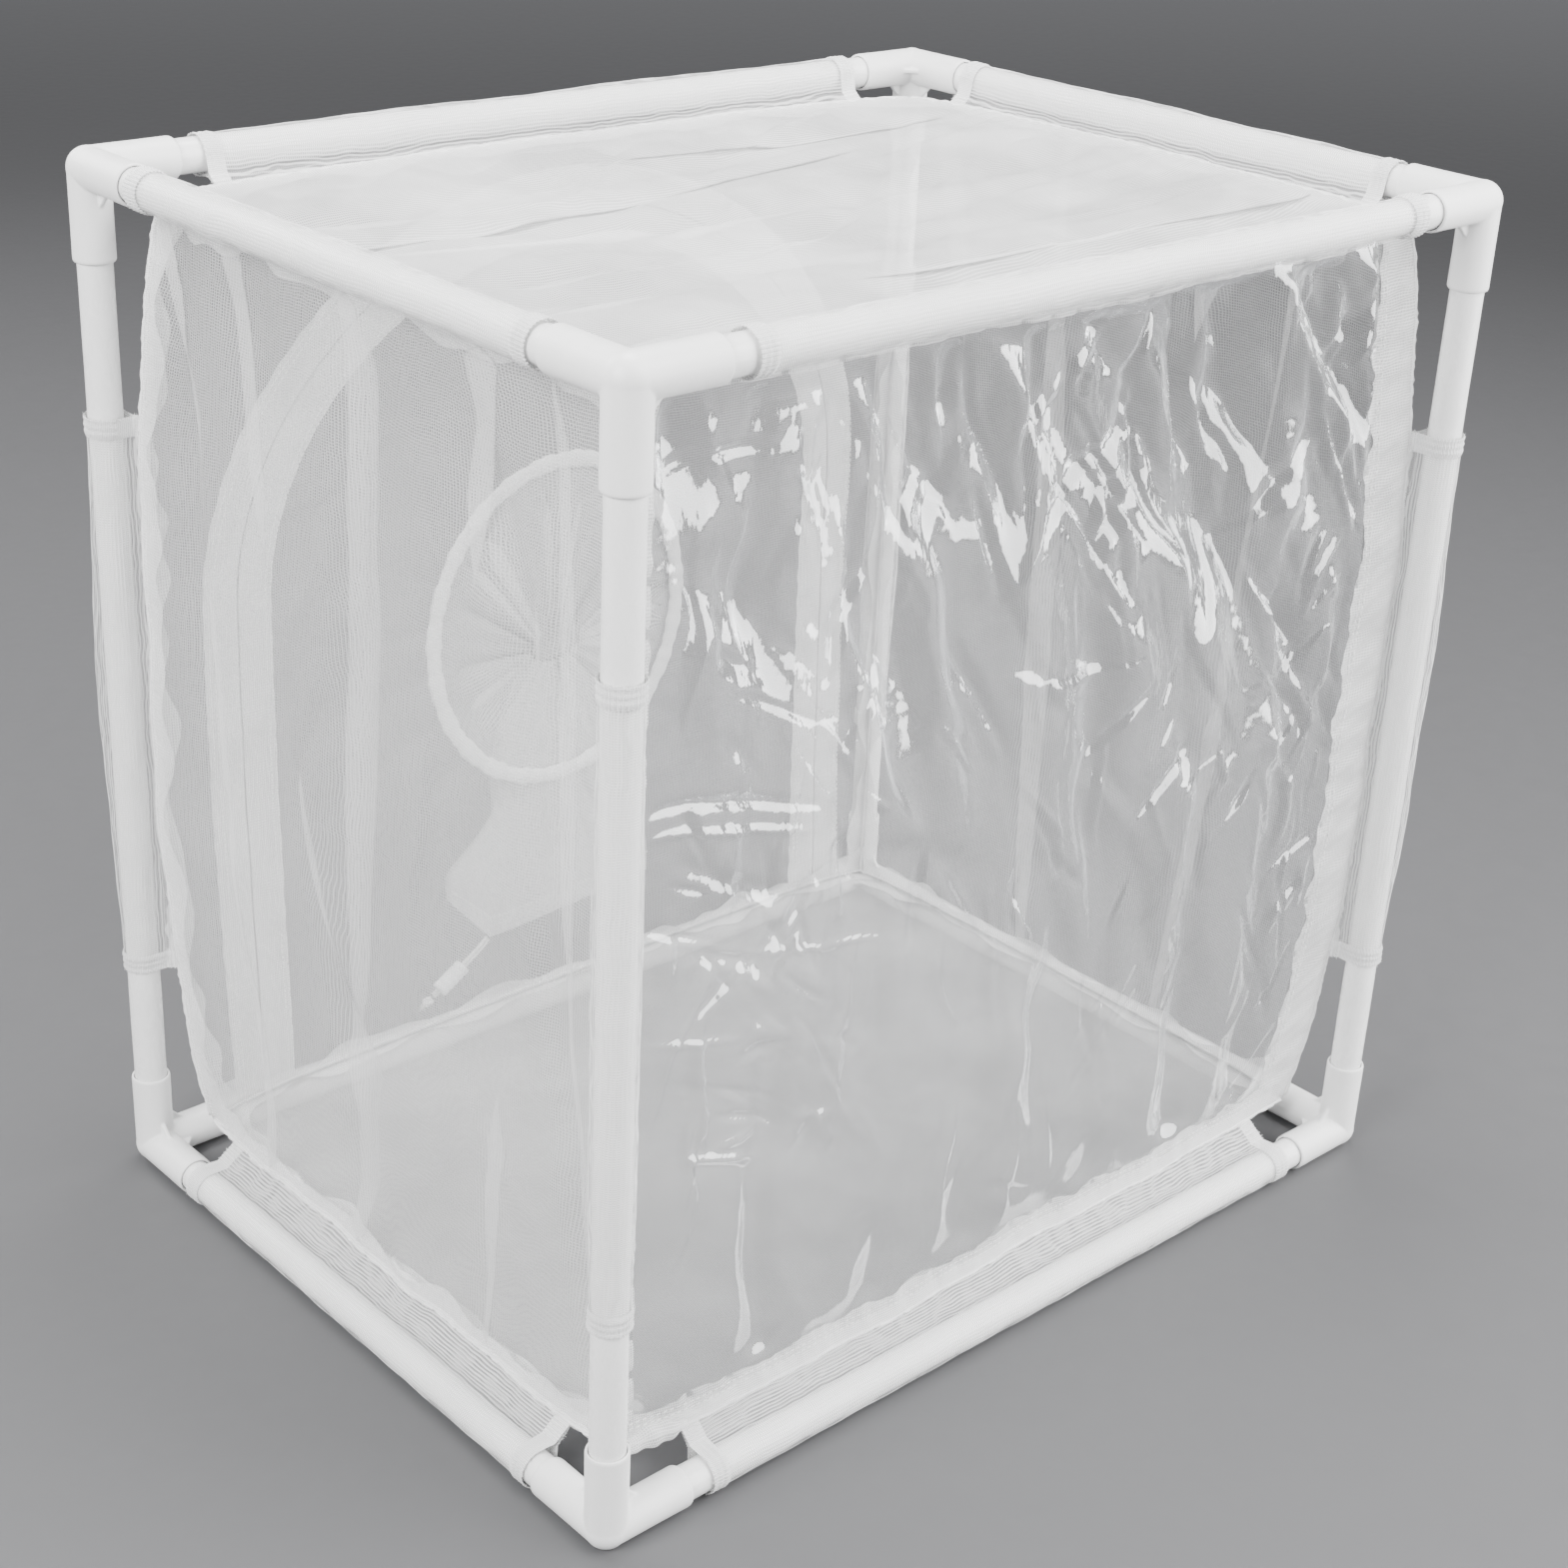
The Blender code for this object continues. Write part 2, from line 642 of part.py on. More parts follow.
def smooth_route(route, count):
    """Evenly spread points on a smooth curve through the route's own points."""
    ends = [2 * route[0] - route[1], *route, 2 * route[-1] - route[-2]]
    fine = []
    for before, start, end, after in zip(ends, ends[1:], ends[2:], ends[3:]):
        for step in range(16):
            t = step / 16
            bend = 2 * before - 5 * start + 4 * end - after
            twist = 3 * (start - end) + after - before
            fine.append(start + 0.5 * t * ((end - before) + t * (bend + t * twist)))
    fine.append(route[-1])
    lengths = [0.0]
    for first, second in zip(fine, fine[1:]):
        lengths.append(lengths[-1] + (second - first).length)
    points = []
    for i in range(count):
        wanted = lengths[-1] * i / (count - 1)
        k = max(j for j in range(len(fine) - 1) if lengths[j] <= wanted)
        share = (wanted - lengths[k]) / (lengths[k + 1] - lengths[k])
        points.append(fine[k].lerp(fine[k + 1], share))
    return points


def make_drawcord(parts, cord, stopper):
    route = [cord_place(*point) for point in CORD_ROUTE]
    straight_start = route[-3]
    along = (route[-1] - straight_start).normalized()
    aside = along.cross(Y).normalized()
    line = smooth_route(route, CORD_POINTS)
    for name, sign in (("upper", 1), ("lower", -1)):
        points = [point + aside * sign * CORD_SPREAD for point in line]
        strand = tube("strand", points, CORD_RADIUS, 2)
        finish(strand, f"drawcord_{name}_strand", parts, cord)

    half = STOPPER_LENGTH / 2
    profile = [(STOPPER_BORE, -half), (STOPPER_BORE, half)]
    pitch = STOPPER_LENGTH / STOPPER_RIBS
    for rib in range(STOPPER_RIBS):
        ridge = half - rib * pitch
        groove = STOPPER_RADIUS - RIB_DEPTH
        profile.append((groove, ridge))
        profile.append((STOPPER_RADIUS, ridge - 0.3 * pitch))
        profile.append((STOPPER_RADIUS, ridge - 0.7 * pitch))
    profile.append((STOPPER_RADIUS - RIB_DEPTH, -half))
    turn = along.to_track_quat("Z", "Y").to_matrix().to_4x4()
    barrel = turned("stopper", profile, 10, closed=True)
    barrel.matrix_world = Matrix.Translation(straight_start + along * STOPPER_PLACE) @ turn
    finish(barrel, "cord_stopper", parts, stopper)

    half = KNOT_LENGTH / 2
    steps = 5
    profile = []
    for i in range(steps + 1):
        turn_angle = math.pi / 2 - math.pi * i / steps
        profile.append((KNOT_RADIUS * math.cos(turn_angle), half * math.sin(turn_angle)))
    profile[0] = (0.0, half)
    profile[-1] = (0.0, -half)
    knot = turned("knot", profile, 10)
    knot.matrix_world = Matrix.Translation(route[-1] + along * (half + FIT_GAP)) @ turn
    finish(knot, "cord_knot", parts, cord)


def make_slider(parts, cutters, metal):
    """The zip slider on the left leg, and its pull tab, which hangs on the slider's bail."""
    x_place = -ARCH_HALF_WIDTH
    y_place = TENT_Y + SLIDER_LIFT
    body = box("slider", SLIDER_SIZE, (x_place, y_place, SLIDER_HEIGHT))
    bevel = body.modifiers.new("Rounding", "BEVEL")
    bevel.width = 0.0007
    bevel.segments = 2
    face = SLIDER_SIZE[1] / 2
    foot = BAIL_HALF_HEIGHT
    bail_points = (
        (0, face - 0.0010, foot),
        (0, face + BAIL_RISE, foot),
        (0, face + BAIL_RISE, -foot),
        (0, face - 0.0010, -foot),
    )
    bail_curve = helper(tube("bail_curve", bail_points, BAIL_WIRE, 1), cutters)
    bpy.context.view_layer.update()
    bail_mesh = evaluated_mesh(bail_curve, "bail")
    shape = bmesh.new()
    shape.from_mesh(bail_mesh)
    bmesh.ops.remove_doubles(shape, verts=shape.verts, dist=0.00001)
    shape.to_mesh(bail_mesh)
    shape.free()
    bail = helper(bpy.data.objects.new("bail", bail_mesh), cutters)
    bail.matrix_world = Matrix.Translation((x_place, y_place, SLIDER_HEIGHT))
    bpy.data.objects.remove(bail_curve, do_unlink=True)
    boolean(body, "UNION", bail)
    finish(body, "zip_slider", parts, metal)

    tab = flat_outline("tab", (tab_outline(), tab_slot()), TAB_SIZE[1])
    hinge = Vector((x_place, y_place + face + BAIL_RISE / 2, SLIDER_HEIGHT))
    tab.matrix_world = axes_matrix(X, Z, -Y, hinge)
    finish(tab, "pull_tab", parts, metal)


def tab_outline():
    """A tab that hangs from a bar above its slot. Its own origin is the middle of the bar."""
    half = TAB_SIZE[0] / 2
    top = TAB_BAR / 2
    bottom = top - TAB_SIZE[2]
    corner = 0.0006
    return [
        (-half + corner, top),
        (half - corner, top),
        (half, top - corner),
        (half * 0.8, bottom + corner),
        (half * 0.8 - corner, bottom),
        (-half * 0.8 + corner, bottom),
        (-half * 0.8, bottom + corner),
        (-half, top - corner),
    ]


def tab_slot():
    half = TAB_SLOT[0] / 2
    top = -TAB_BAR / 2
    bottom = top - TAB_SLOT[1]
    return [(-half, bottom), (half, bottom), (half, top), (-half, top)]


def hang_on_pivot(name, place, pieces, parts):
    """An empty on a hinge's axis, and the pieces that turn about it parented to it where they are."""
    pivot = bpy.data.objects.new(name, None)
    pivot.location = place
    parts.objects.link(pivot)
    to_pivot = Matrix.Translation(place).inverted()
    for piece in pieces:
        bpy.data.objects[piece].parent = pivot
        bpy.data.objects[piece].matrix_parent_inverse = to_pivot


def main():
    clear_scene()
    parts = new_collection("insect_cage")
    cutters = new_collection("cutters")
    fitting_plastic = material("fitting_plastic", (0.86, 0.86, 0.85), 0.42)
    pipe_plastic = material("pipe_plastic", (0.88, 0.88, 0.87), 0.28)
    net = material("net", (0.92, 0.92, 0.92), 0.75, alpha=0.45)
    ribbed_net = material("ribbed_net", (0.90, 0.90, 0.90), 0.70, alpha=0.60)
    floor_net = material("floor_net", (0.93, 0.93, 0.93), 0.80, alpha=0.80)
    film = material("film", (0.96, 0.97, 0.97), 0.08, alpha=0.30, transmission=0.9)
    tape = material("zip_tape", (0.90, 0.90, 0.90), 0.70)
    coil = material("zip_coil", (0.88, 0.88, 0.88), 0.40)
    binding = material("binding", (0.93, 0.93, 0.93), 0.75)
    cord = material("cord", (0.90, 0.90, 0.90), 0.80)
    stopper = material("stopper", (0.82, 0.84, 0.85), 0.35)
    slider_metal = material("slider_paint", (0.88, 0.88, 0.88), 0.35)
    make_fittings(parts, cutters, fitting_plastic)
    make_pipes(parts, pipe_plastic)
    make_sleeves(parts, ribbed_net)
    make_nets(parts, net, floor_net)
    make_window(parts, film, net)
    make_rear(parts, net, binding, tape, coil)
    make_sock(parts, net)
    make_drawcord(parts, cord, stopper)
    make_slider(parts, cutters, slider_metal)
    neck = (0, TENT_Y + NECK_LIFT, NECK_HEIGHT)
    foot = (0, TENT_Y, DOOR_FOOT)
    hang_on_pivot("sleeve_pivot", neck, SLEEVE_PIECES, parts)
    hang_on_pivot("door_pivot", foot, (*DOOR_PIECES, "pull_tab", "sleeve_pivot"), parts)


main()
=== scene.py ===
"""Insect cage: the looks of a push-together pipe frame that carries a net tent.

Units are metres. The origin is the middle of the footprint, on the surface that the cage stands
on. +Z is up, the clear window faces -Y and the arched zip door faces +Y.
"""

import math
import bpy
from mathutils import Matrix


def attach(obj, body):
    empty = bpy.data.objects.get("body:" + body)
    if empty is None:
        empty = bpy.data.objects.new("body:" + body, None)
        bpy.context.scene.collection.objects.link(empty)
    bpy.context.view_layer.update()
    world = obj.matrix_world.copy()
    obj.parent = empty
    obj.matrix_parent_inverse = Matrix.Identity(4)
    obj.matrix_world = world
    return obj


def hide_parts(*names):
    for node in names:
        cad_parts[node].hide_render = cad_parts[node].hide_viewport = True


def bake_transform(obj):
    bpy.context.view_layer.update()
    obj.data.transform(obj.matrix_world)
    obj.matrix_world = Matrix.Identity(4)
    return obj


bl_info = {
    "name": "Insect Cage",
    "version": (1, 0, 0),
    "blender": (4, 5, 0),
    "location": "3D View > Sidebar > Insect Cage",
    "description": "Makes the pipes, nets, clear window, zip door and hand sleeve of an insect cage",
    "category": "Object",
}

import bmesh
import bpy
import numpy as np
from bpy.props import FloatProperty, FloatVectorProperty, PointerProperty
from bpy.types import Operator, Panel, PropertyGroup
from mathutils import Matrix, Vector

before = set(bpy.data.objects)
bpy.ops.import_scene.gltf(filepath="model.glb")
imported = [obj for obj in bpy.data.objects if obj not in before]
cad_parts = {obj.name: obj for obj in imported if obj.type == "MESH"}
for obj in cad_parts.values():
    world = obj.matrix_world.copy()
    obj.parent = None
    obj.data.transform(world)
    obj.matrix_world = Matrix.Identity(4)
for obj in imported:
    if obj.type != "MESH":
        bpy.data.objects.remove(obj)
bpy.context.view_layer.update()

# Pipe frame, between pipe centre lines
HALF_X = 0.250
HALF_Y = 0.1865
AXIS_LOW = 0.0092
AXIS_HIGH = 0.5092

# Name, and signs of X and Y, of the four upright corners
CORNERS = (("front_left", -1, -1), ("front_right", 1, -1), ("rear_left", -1, 1), ("rear_right", 1, 1))

# The tent's corners, and how far each kind of seam hangs in from its pipe: middle, slope, bow
TENT_LOW = 0.0252
TENT_HIGH = 0.4982
CORNER_INSET = 0.0216
SEAM_INSETS = {
    ("X", -1, 1): (0.0102, 0.0000, 0.0040),
    ("X", 1, 1): (0.0102, 0.0000, 0.0040),
    ("Y", -1, 1): (0.0102, 0.0004, 0.0040),
    ("Y", 1, 1): (0.0104, 0.0000, 0.0040),
    ("X", -1, -1): (0.0157, 0.0042, 0.0000),
    ("X", 1, -1): (0.0135, 0.0000, 0.0010),
    ("Y", -1, -1): (0.0176, 0.0018, 0.0000),
    ("Y", 1, -1): (0.0170, 0.0000, 0.0010),
}
POST_SEAM_INSET = (0.0086, 0.0000, 0.0090)
HEM_WIDTH = 0.0085

# How far the top net sags, and how far out from its middle
TOP_SAG = 0.0060
TOP_SAG_HALF = (0.236, 0.172)

# Zip door and hand port, in the rear net
REAR_Y = 0.1745
ARCH_HALF_WIDTH = 0.193
ARCH_RISE = 0.176
ARCH_SPRING = 0.289
DOOR_FOOT = 0.0272
TAPE_LIFT = 0.0011
COIL_FOOT = 0.034
COIL_LIFT = 0.0028
PORT_HEIGHT = 0.243
PORT_HALF_WIDTH = 0.0810
PORT_HALF_HEIGHT = 0.0890
GATHER_SPOT = (0.0060, 0.0125, 0.2240)
GATHER_RADIUS = 0.0150
NECK_HEIGHT = 0.141
NECK_LIFT = 0.0100
NECK_HALF_WIDTH = 0.038
NECK_HALF_DEPTH = 0.0040
NECK_GAP = 0.0055
CUFF_HALF_WIDTH = 0.070
CUFF_HALF_DEPTH = 0.0036
CUFF_LIFT = 0.0075
LIP_X = -0.043
LIP_HEIGHT = 0.063
CORD_ROUTE = (
    (-0.0430, 0.0075, 0.0612),
    (-0.0470, 0.0068, 0.0585),
    (-0.0515, 0.0062, 0.0560),
    (-0.0560, 0.0060, 0.0533),
    (-0.0683, 0.0060, 0.0457),
    (-0.0805, 0.0060, 0.0382),
)
CORD_SPREAD = 0.00115

# Main folds of the nets: place, lean, depth, half width
LEFT_FOLDS = (
    (0.015, -0.045, 0.0095, 0.0060),
    (0.004, -0.050, 0.0040, 0.020),
    (-0.070, 0.060, 0.0040, 0.018),
    (-0.125, 0.160, 0.0060, 0.008),
    (-0.142, 0.080, 0.0040, 0.006),
    (0.085, -0.050, 0.0035, 0.020),
    (0.132, 0.040, 0.0060, 0.009),
)
RIGHT_FOLDS = (
    (-0.110, 0.050, 0.0055, 0.009),
    (-0.030, -0.060, 0.0040, 0.018),
    (0.045, 0.040, 0.0065, 0.008),
    (0.120, -0.030, 0.0045, 0.014),
)
TOP_FOLDS = (
    (0.110, 0.050, 0.0035, 0.012),
    (0.075, 0.120, 0.0030, 0.008),
    (0.035, -0.060, 0.0040, 0.011),
    (-0.010, 0.080, 0.0030, 0.009),
    (-0.045, 0.040, 0.0035, 0.013),
    (-0.115, -0.030, 0.0045, 0.010),
)
FILM_FOLDS = (
    (-0.165, -0.050, 0.0035, 0.010),
    (-0.110, -0.120, 0.0030, 0.013),
    (-0.040, -0.060, 0.0025, 0.016),
    (0.040, -0.090, 0.0035, 0.012),
    (0.105, -0.110, 0.0040, 0.010),
    (0.170, -0.030, 0.0045, 0.010),
)

# Narrow laps where the cloth doubles back on itself: place, lean, half width, low and high end, fullness
LEFT_LAPS = (
    (0.0150, -0.045, 0.0120, -0.50, 0.50, 3.0),
    (-0.142, 0.060, 0.0070, -0.30, 0.50, 1.9),
    (0.118, 0.060, 0.0080, -0.50, 0.12, 2.2),
    (0.066, 0.120, 0.0130, 0.06, 0.50, 3.2),
    (0.055, 0.280, 0.0070, -0.20, 0.04, 2.2),
    (-0.060, -0.120, 0.0130, 0.10, 0.50, 3.0),
    (0.105, 0.220, 0.0110, 0.12, 0.50, 3.0),
    (-0.098, -0.090, 0.0095, -0.50, -0.06, 2.2),
)
RIGHT_LAPS = (
    (0.045, 0.040, 0.0105, -0.50, 0.50, 2.8),
    (-0.085, -0.070, 0.0085, -0.50, 0.50, 2.1),
    (0.100, 0.180, 0.0120, 0.08, 0.50, 2.8),
    (-0.020, -0.150, 0.0110, 0.12, 0.50, 2.6),
)
TOP_LAPS = (
    (0.080, 0.110, 0.0060, -0.30, 0.16, 2.3),
    (-0.095, -0.050, 0.0060, -0.08, 0.30, 2.3),
    (0.025, -0.080, 0.0050, -0.24, 0.03, 2.4),
    (0.128, -0.030, 0.0050, -0.06, 0.24, 2.2),
)

PANEL_SEAMS = {
    "left": (("Y", -1, -1), ("Y", -1, 1), ("Z", -1, -1), ("Z", -1, 1)),
    "right": (("Y", 1, -1), ("Y", 1, 1), ("Z", 1, -1), ("Z", 1, 1)),
    "front": (("X", -1, -1), ("X", -1, 1), ("Z", -1, -1), ("Z", 1, -1)),
    "rear": (("X", 1, -1), ("X", 1, 1), ("Z", -1, 1), ("Z", 1, 1)),
    "top": (("X", -1, 1), ("X", 1, 1), ("Y", -1, 1), ("Y", 1, 1)),
    "floor": (("X", -1, -1), ("X", 1, -1), ("Y", -1, -1), ("Y", 1, -1)),
}
PANEL_PLACES = {
    "left": (0, -0.238),
    "right": (0, 0.238),
    "front": (1, -REAR_Y),
    "rear": (1, REAR_Y),
    "top": (2, 0.4985),
    "floor": (2, TENT_LOW),
}
SEAM_PULL = 0.060
INWARD = {
    "left": (1, 0, 0),
    "right": (-1, 0, 0),
    "front": (0, 1, 0),
    "rear": (0, -1, 0),
    "top": (0, 0, -1),
    "floor": (0, 0, 1),
}


class PipeSizes(PropertyGroup):
    """Sizes of the pipes and their corner fittings."""

    radius: FloatProperty(
        name="Pipe radius", description="Outside radius of the pipe", default=0.0080, unit="LENGTH"
    )
    wall: FloatProperty(
        name="Pipe wall", description="Thickness of the pipe's wall", default=0.0013, unit="LENGTH"
    )
    socket_radius: FloatProperty(
        name="Socket radius", description="Outside radius of a socket", default=0.0095, unit="LENGTH"
    )
    socket_reach: FloatProperty(
        name="Socket reach", description="From the corner to a socket's mouth", default=0.041, unit="LENGTH"
    )
    socket_stop: FloatProperty(
        name="Socket stop", description="From the corner to a socket's bottom", default=0.017, unit="LENGTH"
    )
    web_leg: FloatProperty(
        name="Web size", description="Reach of the webs between sockets", default=0.0075, unit="LENGTH"
    )


class ClothSizes(PropertyGroup):
    """Sizes of the nets, sleeves, borders and tapes."""

    net_pitch: FloatProperty(
        name="Net pitch", description="From thread to thread", default=0.0011, unit="LENGTH"
    )
    rib_pitch: FloatProperty(
        name="Rib pitch", description="From rib to rib of the gauze", default=0.0017, unit="LENGTH"
    )
    sleeve_radius: FloatProperty(
        name="Sleeve radius", description="Outside radius of a pipe sleeve", default=0.0088, unit="LENGTH"
    )
    sleeve_hem: FloatProperty(
        name="Sleeve hem", description="Width of a sleeve's end hem", default=0.0095, unit="LENGTH"
    )
    border_left: FloatProperty(
        name="Left border", description="Net beside the film", default=0.008, unit="LENGTH"
    )
    border_right: FloatProperty(
        name="Right border", description="Net beside the film", default=0.030, unit="LENGTH"
    )
    border_low: FloatProperty(
        name="Bottom border", description="Net below the film", default=0.014, unit="LENGTH"
    )
    border_high: FloatProperty(
        name="Top border", description="Net above the film", default=0.0035, unit="LENGTH"
    )
    tape_width: FloatProperty(
        name="Tape width", description="One side of the zip", default=0.0185, unit="LENGTH"
    )
    cuff_hem: FloatProperty(
        name="Cuff hem", description="Width of the drawcord's casing", default=0.014, unit="LENGTH"
    )


class CageColours(PropertyGroup):
    """Colours of the cage and the floor."""

    plastic: FloatVectorProperty(
        name="Plastic", description="Pipes and fittings", subtype="COLOR", size=3, default=(0.83, 0.83, 0.825)
    )
    net: FloatVectorProperty(
        name="Net", description="Nets and gauze", subtype="COLOR", size=3, default=(0.92, 0.92, 0.92)
    )
    film: FloatVectorProperty(
        name="Film", description="Clear window", subtype="COLOR", size=3, default=(0.95, 0.96, 0.97)
    )
    thread: FloatVectorProperty(
        name="Thread", description="Stitches and cord", subtype="COLOR", size=3, default=(0.90, 0.90, 0.89)
    )
    stopper: FloatVectorProperty(
        name="Stopper", description="Cord stopper", subtype="COLOR", size=3, default=(0.80, 0.81, 0.81)
    )
    floor: FloatVectorProperty(
        name="Floor", description="Under the cage", subtype="COLOR", size=3, default=(0.085, 0.085, 0.088)
    )


# Node helpers


def add(tree, kind, *values, **settings):
    """A new node with its settings, its first inputs linked or set, and its first output returned."""
    made = tree.nodes.new(kind)
    for key, value in settings.items():
        setattr(made, key, value)
    for socket, value in zip(made.inputs, values):
        if isinstance(value, bpy.types.NodeSocket):
            tree.links.new(value, socket)
        elif value is not None:
            socket.default_value = value
    return made.outputs[0]


def calc(tree, operation, *values):
    return add(tree, "ShaderNodeMath", *values, operation=operation)


def ramp(tree, value, low, high, start, end):
    """The value carried from low..high to start..end with soft ends."""
    return add(tree, "ShaderNodeMapRange", value, low, high, start, end, interpolation_type="SMOOTHSTEP")


def noise(tree, place, scale, detail=2.0, rough=0.5):
    made = tree.nodes.new("ShaderNodeTexNoise")
    tree.links.new(place, made.inputs["Vector"])
    made.inputs["Scale"].default_value = scale
    made.inputs["Detail"].default_value = detail
    made.inputs["Roughness"].default_value = rough
    return made.outputs["Fac"]


def stretched_place(tree, place, scale, turn=0.0):
    """Coordinates turned about Z and drawn out by the three scales."""
    made = tree.nodes.new("ShaderNodeMapping")
    tree.links.new(place, made.inputs["Vector"])
    made.inputs["Rotation"].default_value = (0.0, 0.0, turn)
    made.inputs["Scale"].default_value = scale
    return made.outputs["Vector"]


def tinted(tree, amount, first, second):
    """A colour between two, by amount."""
    made = tree.nodes.new("ShaderNodeMix")
    made.data_type = "RGBA"
    tree.links.new(amount, made.inputs["Factor"])
    made.inputs["A"].default_value = (*first, 1.0)
    made.inputs["B"].default_value = (*second, 1.0)
    return made.outputs["Result"]


def new_surface(name):
    """A material with its tree, its shader, its object coordinates and its weave coordinates."""
    made = bpy.data.materials.new(name)
    made.use_nodes = True
    tree = made.node_tree
    places = tree.nodes.new("ShaderNodeTexCoord")
    return made, tree, tree.nodes["Principled BSDF"], places.outputs["Object"], places.outputs["UV"]


def raise_surface(tree, shader, height, distance, strength=1.0):
    made = tree.nodes.new("ShaderNodeBump")
    made.inputs["Strength"].default_value = strength
    made.inputs["Distance"].default_value = distance
    tree.links.new(height, made.inputs["Height"])
    tree.links.new(made.outputs["Normal"], shader.inputs["Normal"])


def shade(color, share):
    return tuple(channel * share for channel in color)


def plastic_surface(name, color, rough, drawn):
    """White plastic. drawn is true for pipe, which has fine lines along it, and false for fittings."""
    made, tree, shader, place, weave = new_surface(name)
    cloud = noise(tree, place, 28.0, 3.0)
    scuff = noise(tree, stretched_place(tree, place, (1.0, 1.0, 0.35)), 240.0, 4.0, 0.65)
    tint = calc(tree, "ADD", calc(tree, "MULTIPLY", cloud, 0.7), calc(tree, "MULTIPLY", scuff, 0.3))
    blotches = ramp(tree, tint, 0.35, 0.65, 0.0, 1.0)
    tree.links.new(tinted(tree, blotches, shade(color, 0.955), color), shader.inputs["Base Color"])
    gloss = ramp(tree, scuff, 0.35, 0.72, rough - 0.05, rough + 0.11)
    tree.links.new(gloss, shader.inputs["Roughness"])
    if drawn:
        lines = noise(tree, stretched_place(tree, weave, (1.0, 0.02, 1.0)), 900.0, 2.0)
        height = calc(tree, "ADD", calc(tree, "MULTIPLY", lines, 0.55), calc(tree, "MULTIPLY", cloud, 0.45))
        raise_surface(tree, shader, height, 0.00012, 0.5)
    else:
        grain = noise(tree, place, 1500.0, 2.0)
        height = calc(tree, "ADD", calc(tree, "MULTIPLY", grain, 0.35), calc(tree, "MULTIPLY", cloud, 0.65))
        raise_surface(tree, shader, height, 0.00010, 0.6)
    shader.inputs["Subsurface Weight"].default_value = 0.12
    shader.inputs["Subsurface Radius"].default_value = (0.003, 0.003, 0.003)
    shader.inputs["Specular IOR Level"].default_value = 0.45
    shader.inputs["Coat Weight"].default_value = 0.15 if drawn else 0.05
    shader.inputs["Coat Roughness"].default_value = 0.18
    return made


def threads(tree, value, pitch, width):
    """1 on threads a pitch apart across value, 0 between them. width is their share of the pitch."""
    turn = calc(tree, "PINGPONG", calc(tree, "DIVIDE", value, pitch), 0.5)
    return ramp(tree, turn, width * 0.32, width * 0.68, 1.0, 0.0)


def net_surface(name, color, pitch, cross_pitch, width, open_alpha, thread_alpha, cross=1.0):
    """Knitted or woven net: threads both ways on coordinates in metres, and clear gaps between them.

    cross is the share of the threads that lie across, beside those that lie along.
    """
    made, tree, shader, _, weave = new_surface(name)
    wander = noise(tree, weave, 38.0, 2.0)
    shift = calc(tree, "MULTIPLY", calc(tree, "SUBTRACT", wander, 0.5), pitch * 3.2)
    parts = tree.nodes.new("ShaderNodeSeparateXYZ")
    tree.links.new(weave, parts.inputs[0])
    across = threads(tree, calc(tree, "ADD", parts.outputs["X"], shift), pitch, width)
    along = threads(tree, calc(tree, "ADD", parts.outputs["Y"], shift), cross_pitch, width)
    along = calc(tree, "MULTIPLY", along, cross)
    thread = calc(tree, "MAXIMUM", across, along)
    crossing = calc(tree, "MULTIPLY", across, along)
    cloud = noise(tree, weave, 11.0, 3.0, 0.6)
    haze = ramp(tree, cloud, 0.30, 0.75, open_alpha * 0.75, open_alpha * 1.35)
    alpha = calc(tree, "ADD", haze, calc(tree, "MULTIPLY", thread, thread_alpha))
    tree.links.new(calc(tree, "MINIMUM", alpha, 1.0), shader.inputs["Alpha"])
    tree.links.new(tinted(tree, crossing, shade(color, 0.94), color), shader.inputs["Base Color"])
    tree.links.new(ramp(tree, cloud, 0.3, 0.7, 0.62, 0.78), shader.inputs["Roughness"])
    raise_surface(tree, shader, calc(tree, "ADD", thread, crossing), 0.00022, 0.8)
    shader.inputs["Sheen Weight"].default_value = 0.25
    shader.inputs["Sheen Roughness"].default_value = 0.4
    shader.inputs["Specular IOR Level"].default_value = 0.35
    return made


def cloth_surface(name, color, pitch, rough, depth):
    """Dense white cloth: a plain weave in relief, without gaps."""
    made, tree, shader, place, weave = new_surface(name)
    parts = tree.nodes.new("ShaderNodeSeparateXYZ")
    tree.links.new(weave, parts.inputs[0])
    across = threads(tree, parts.outputs["X"], pitch, 0.7)
    along = threads(tree, parts.outputs["Y"], pitch, 0.7)
    cloud = noise(tree, place, 60.0, 3.0)
    height = calc(tree, "ADD", calc(tree, "MULTIPLY", across, 0.5), calc(tree, "MULTIPLY", along, 0.5))
    # Painted shade: the colour darkens from white to 0.74 in the hollows between the threads, where the
    # weave's relief is low, with a random cloud of tone mixed in.
    tint = calc(tree, "MULTIPLY", calc(tree, "ADD", height, cloud), 0.5)
    tree.links.new(tinted(tree, tint, shade(color, 0.74), color), shader.inputs["Base Color"])
    tree.links.new(ramp(tree, cloud, 0.3, 0.7, rough - 0.07, rough + 0.07), shader.inputs["Roughness"])
    raise_surface(tree, shader, calc(tree, "ADD", height, cloud), depth, 0.7)
    shader.inputs["Sheen Weight"].default_value = 0.2
    shader.inputs["Subsurface Weight"].default_value = 0.1
    shader.inputs["Subsurface Radius"].default_value = (0.002, 0.002, 0.002)
    return made


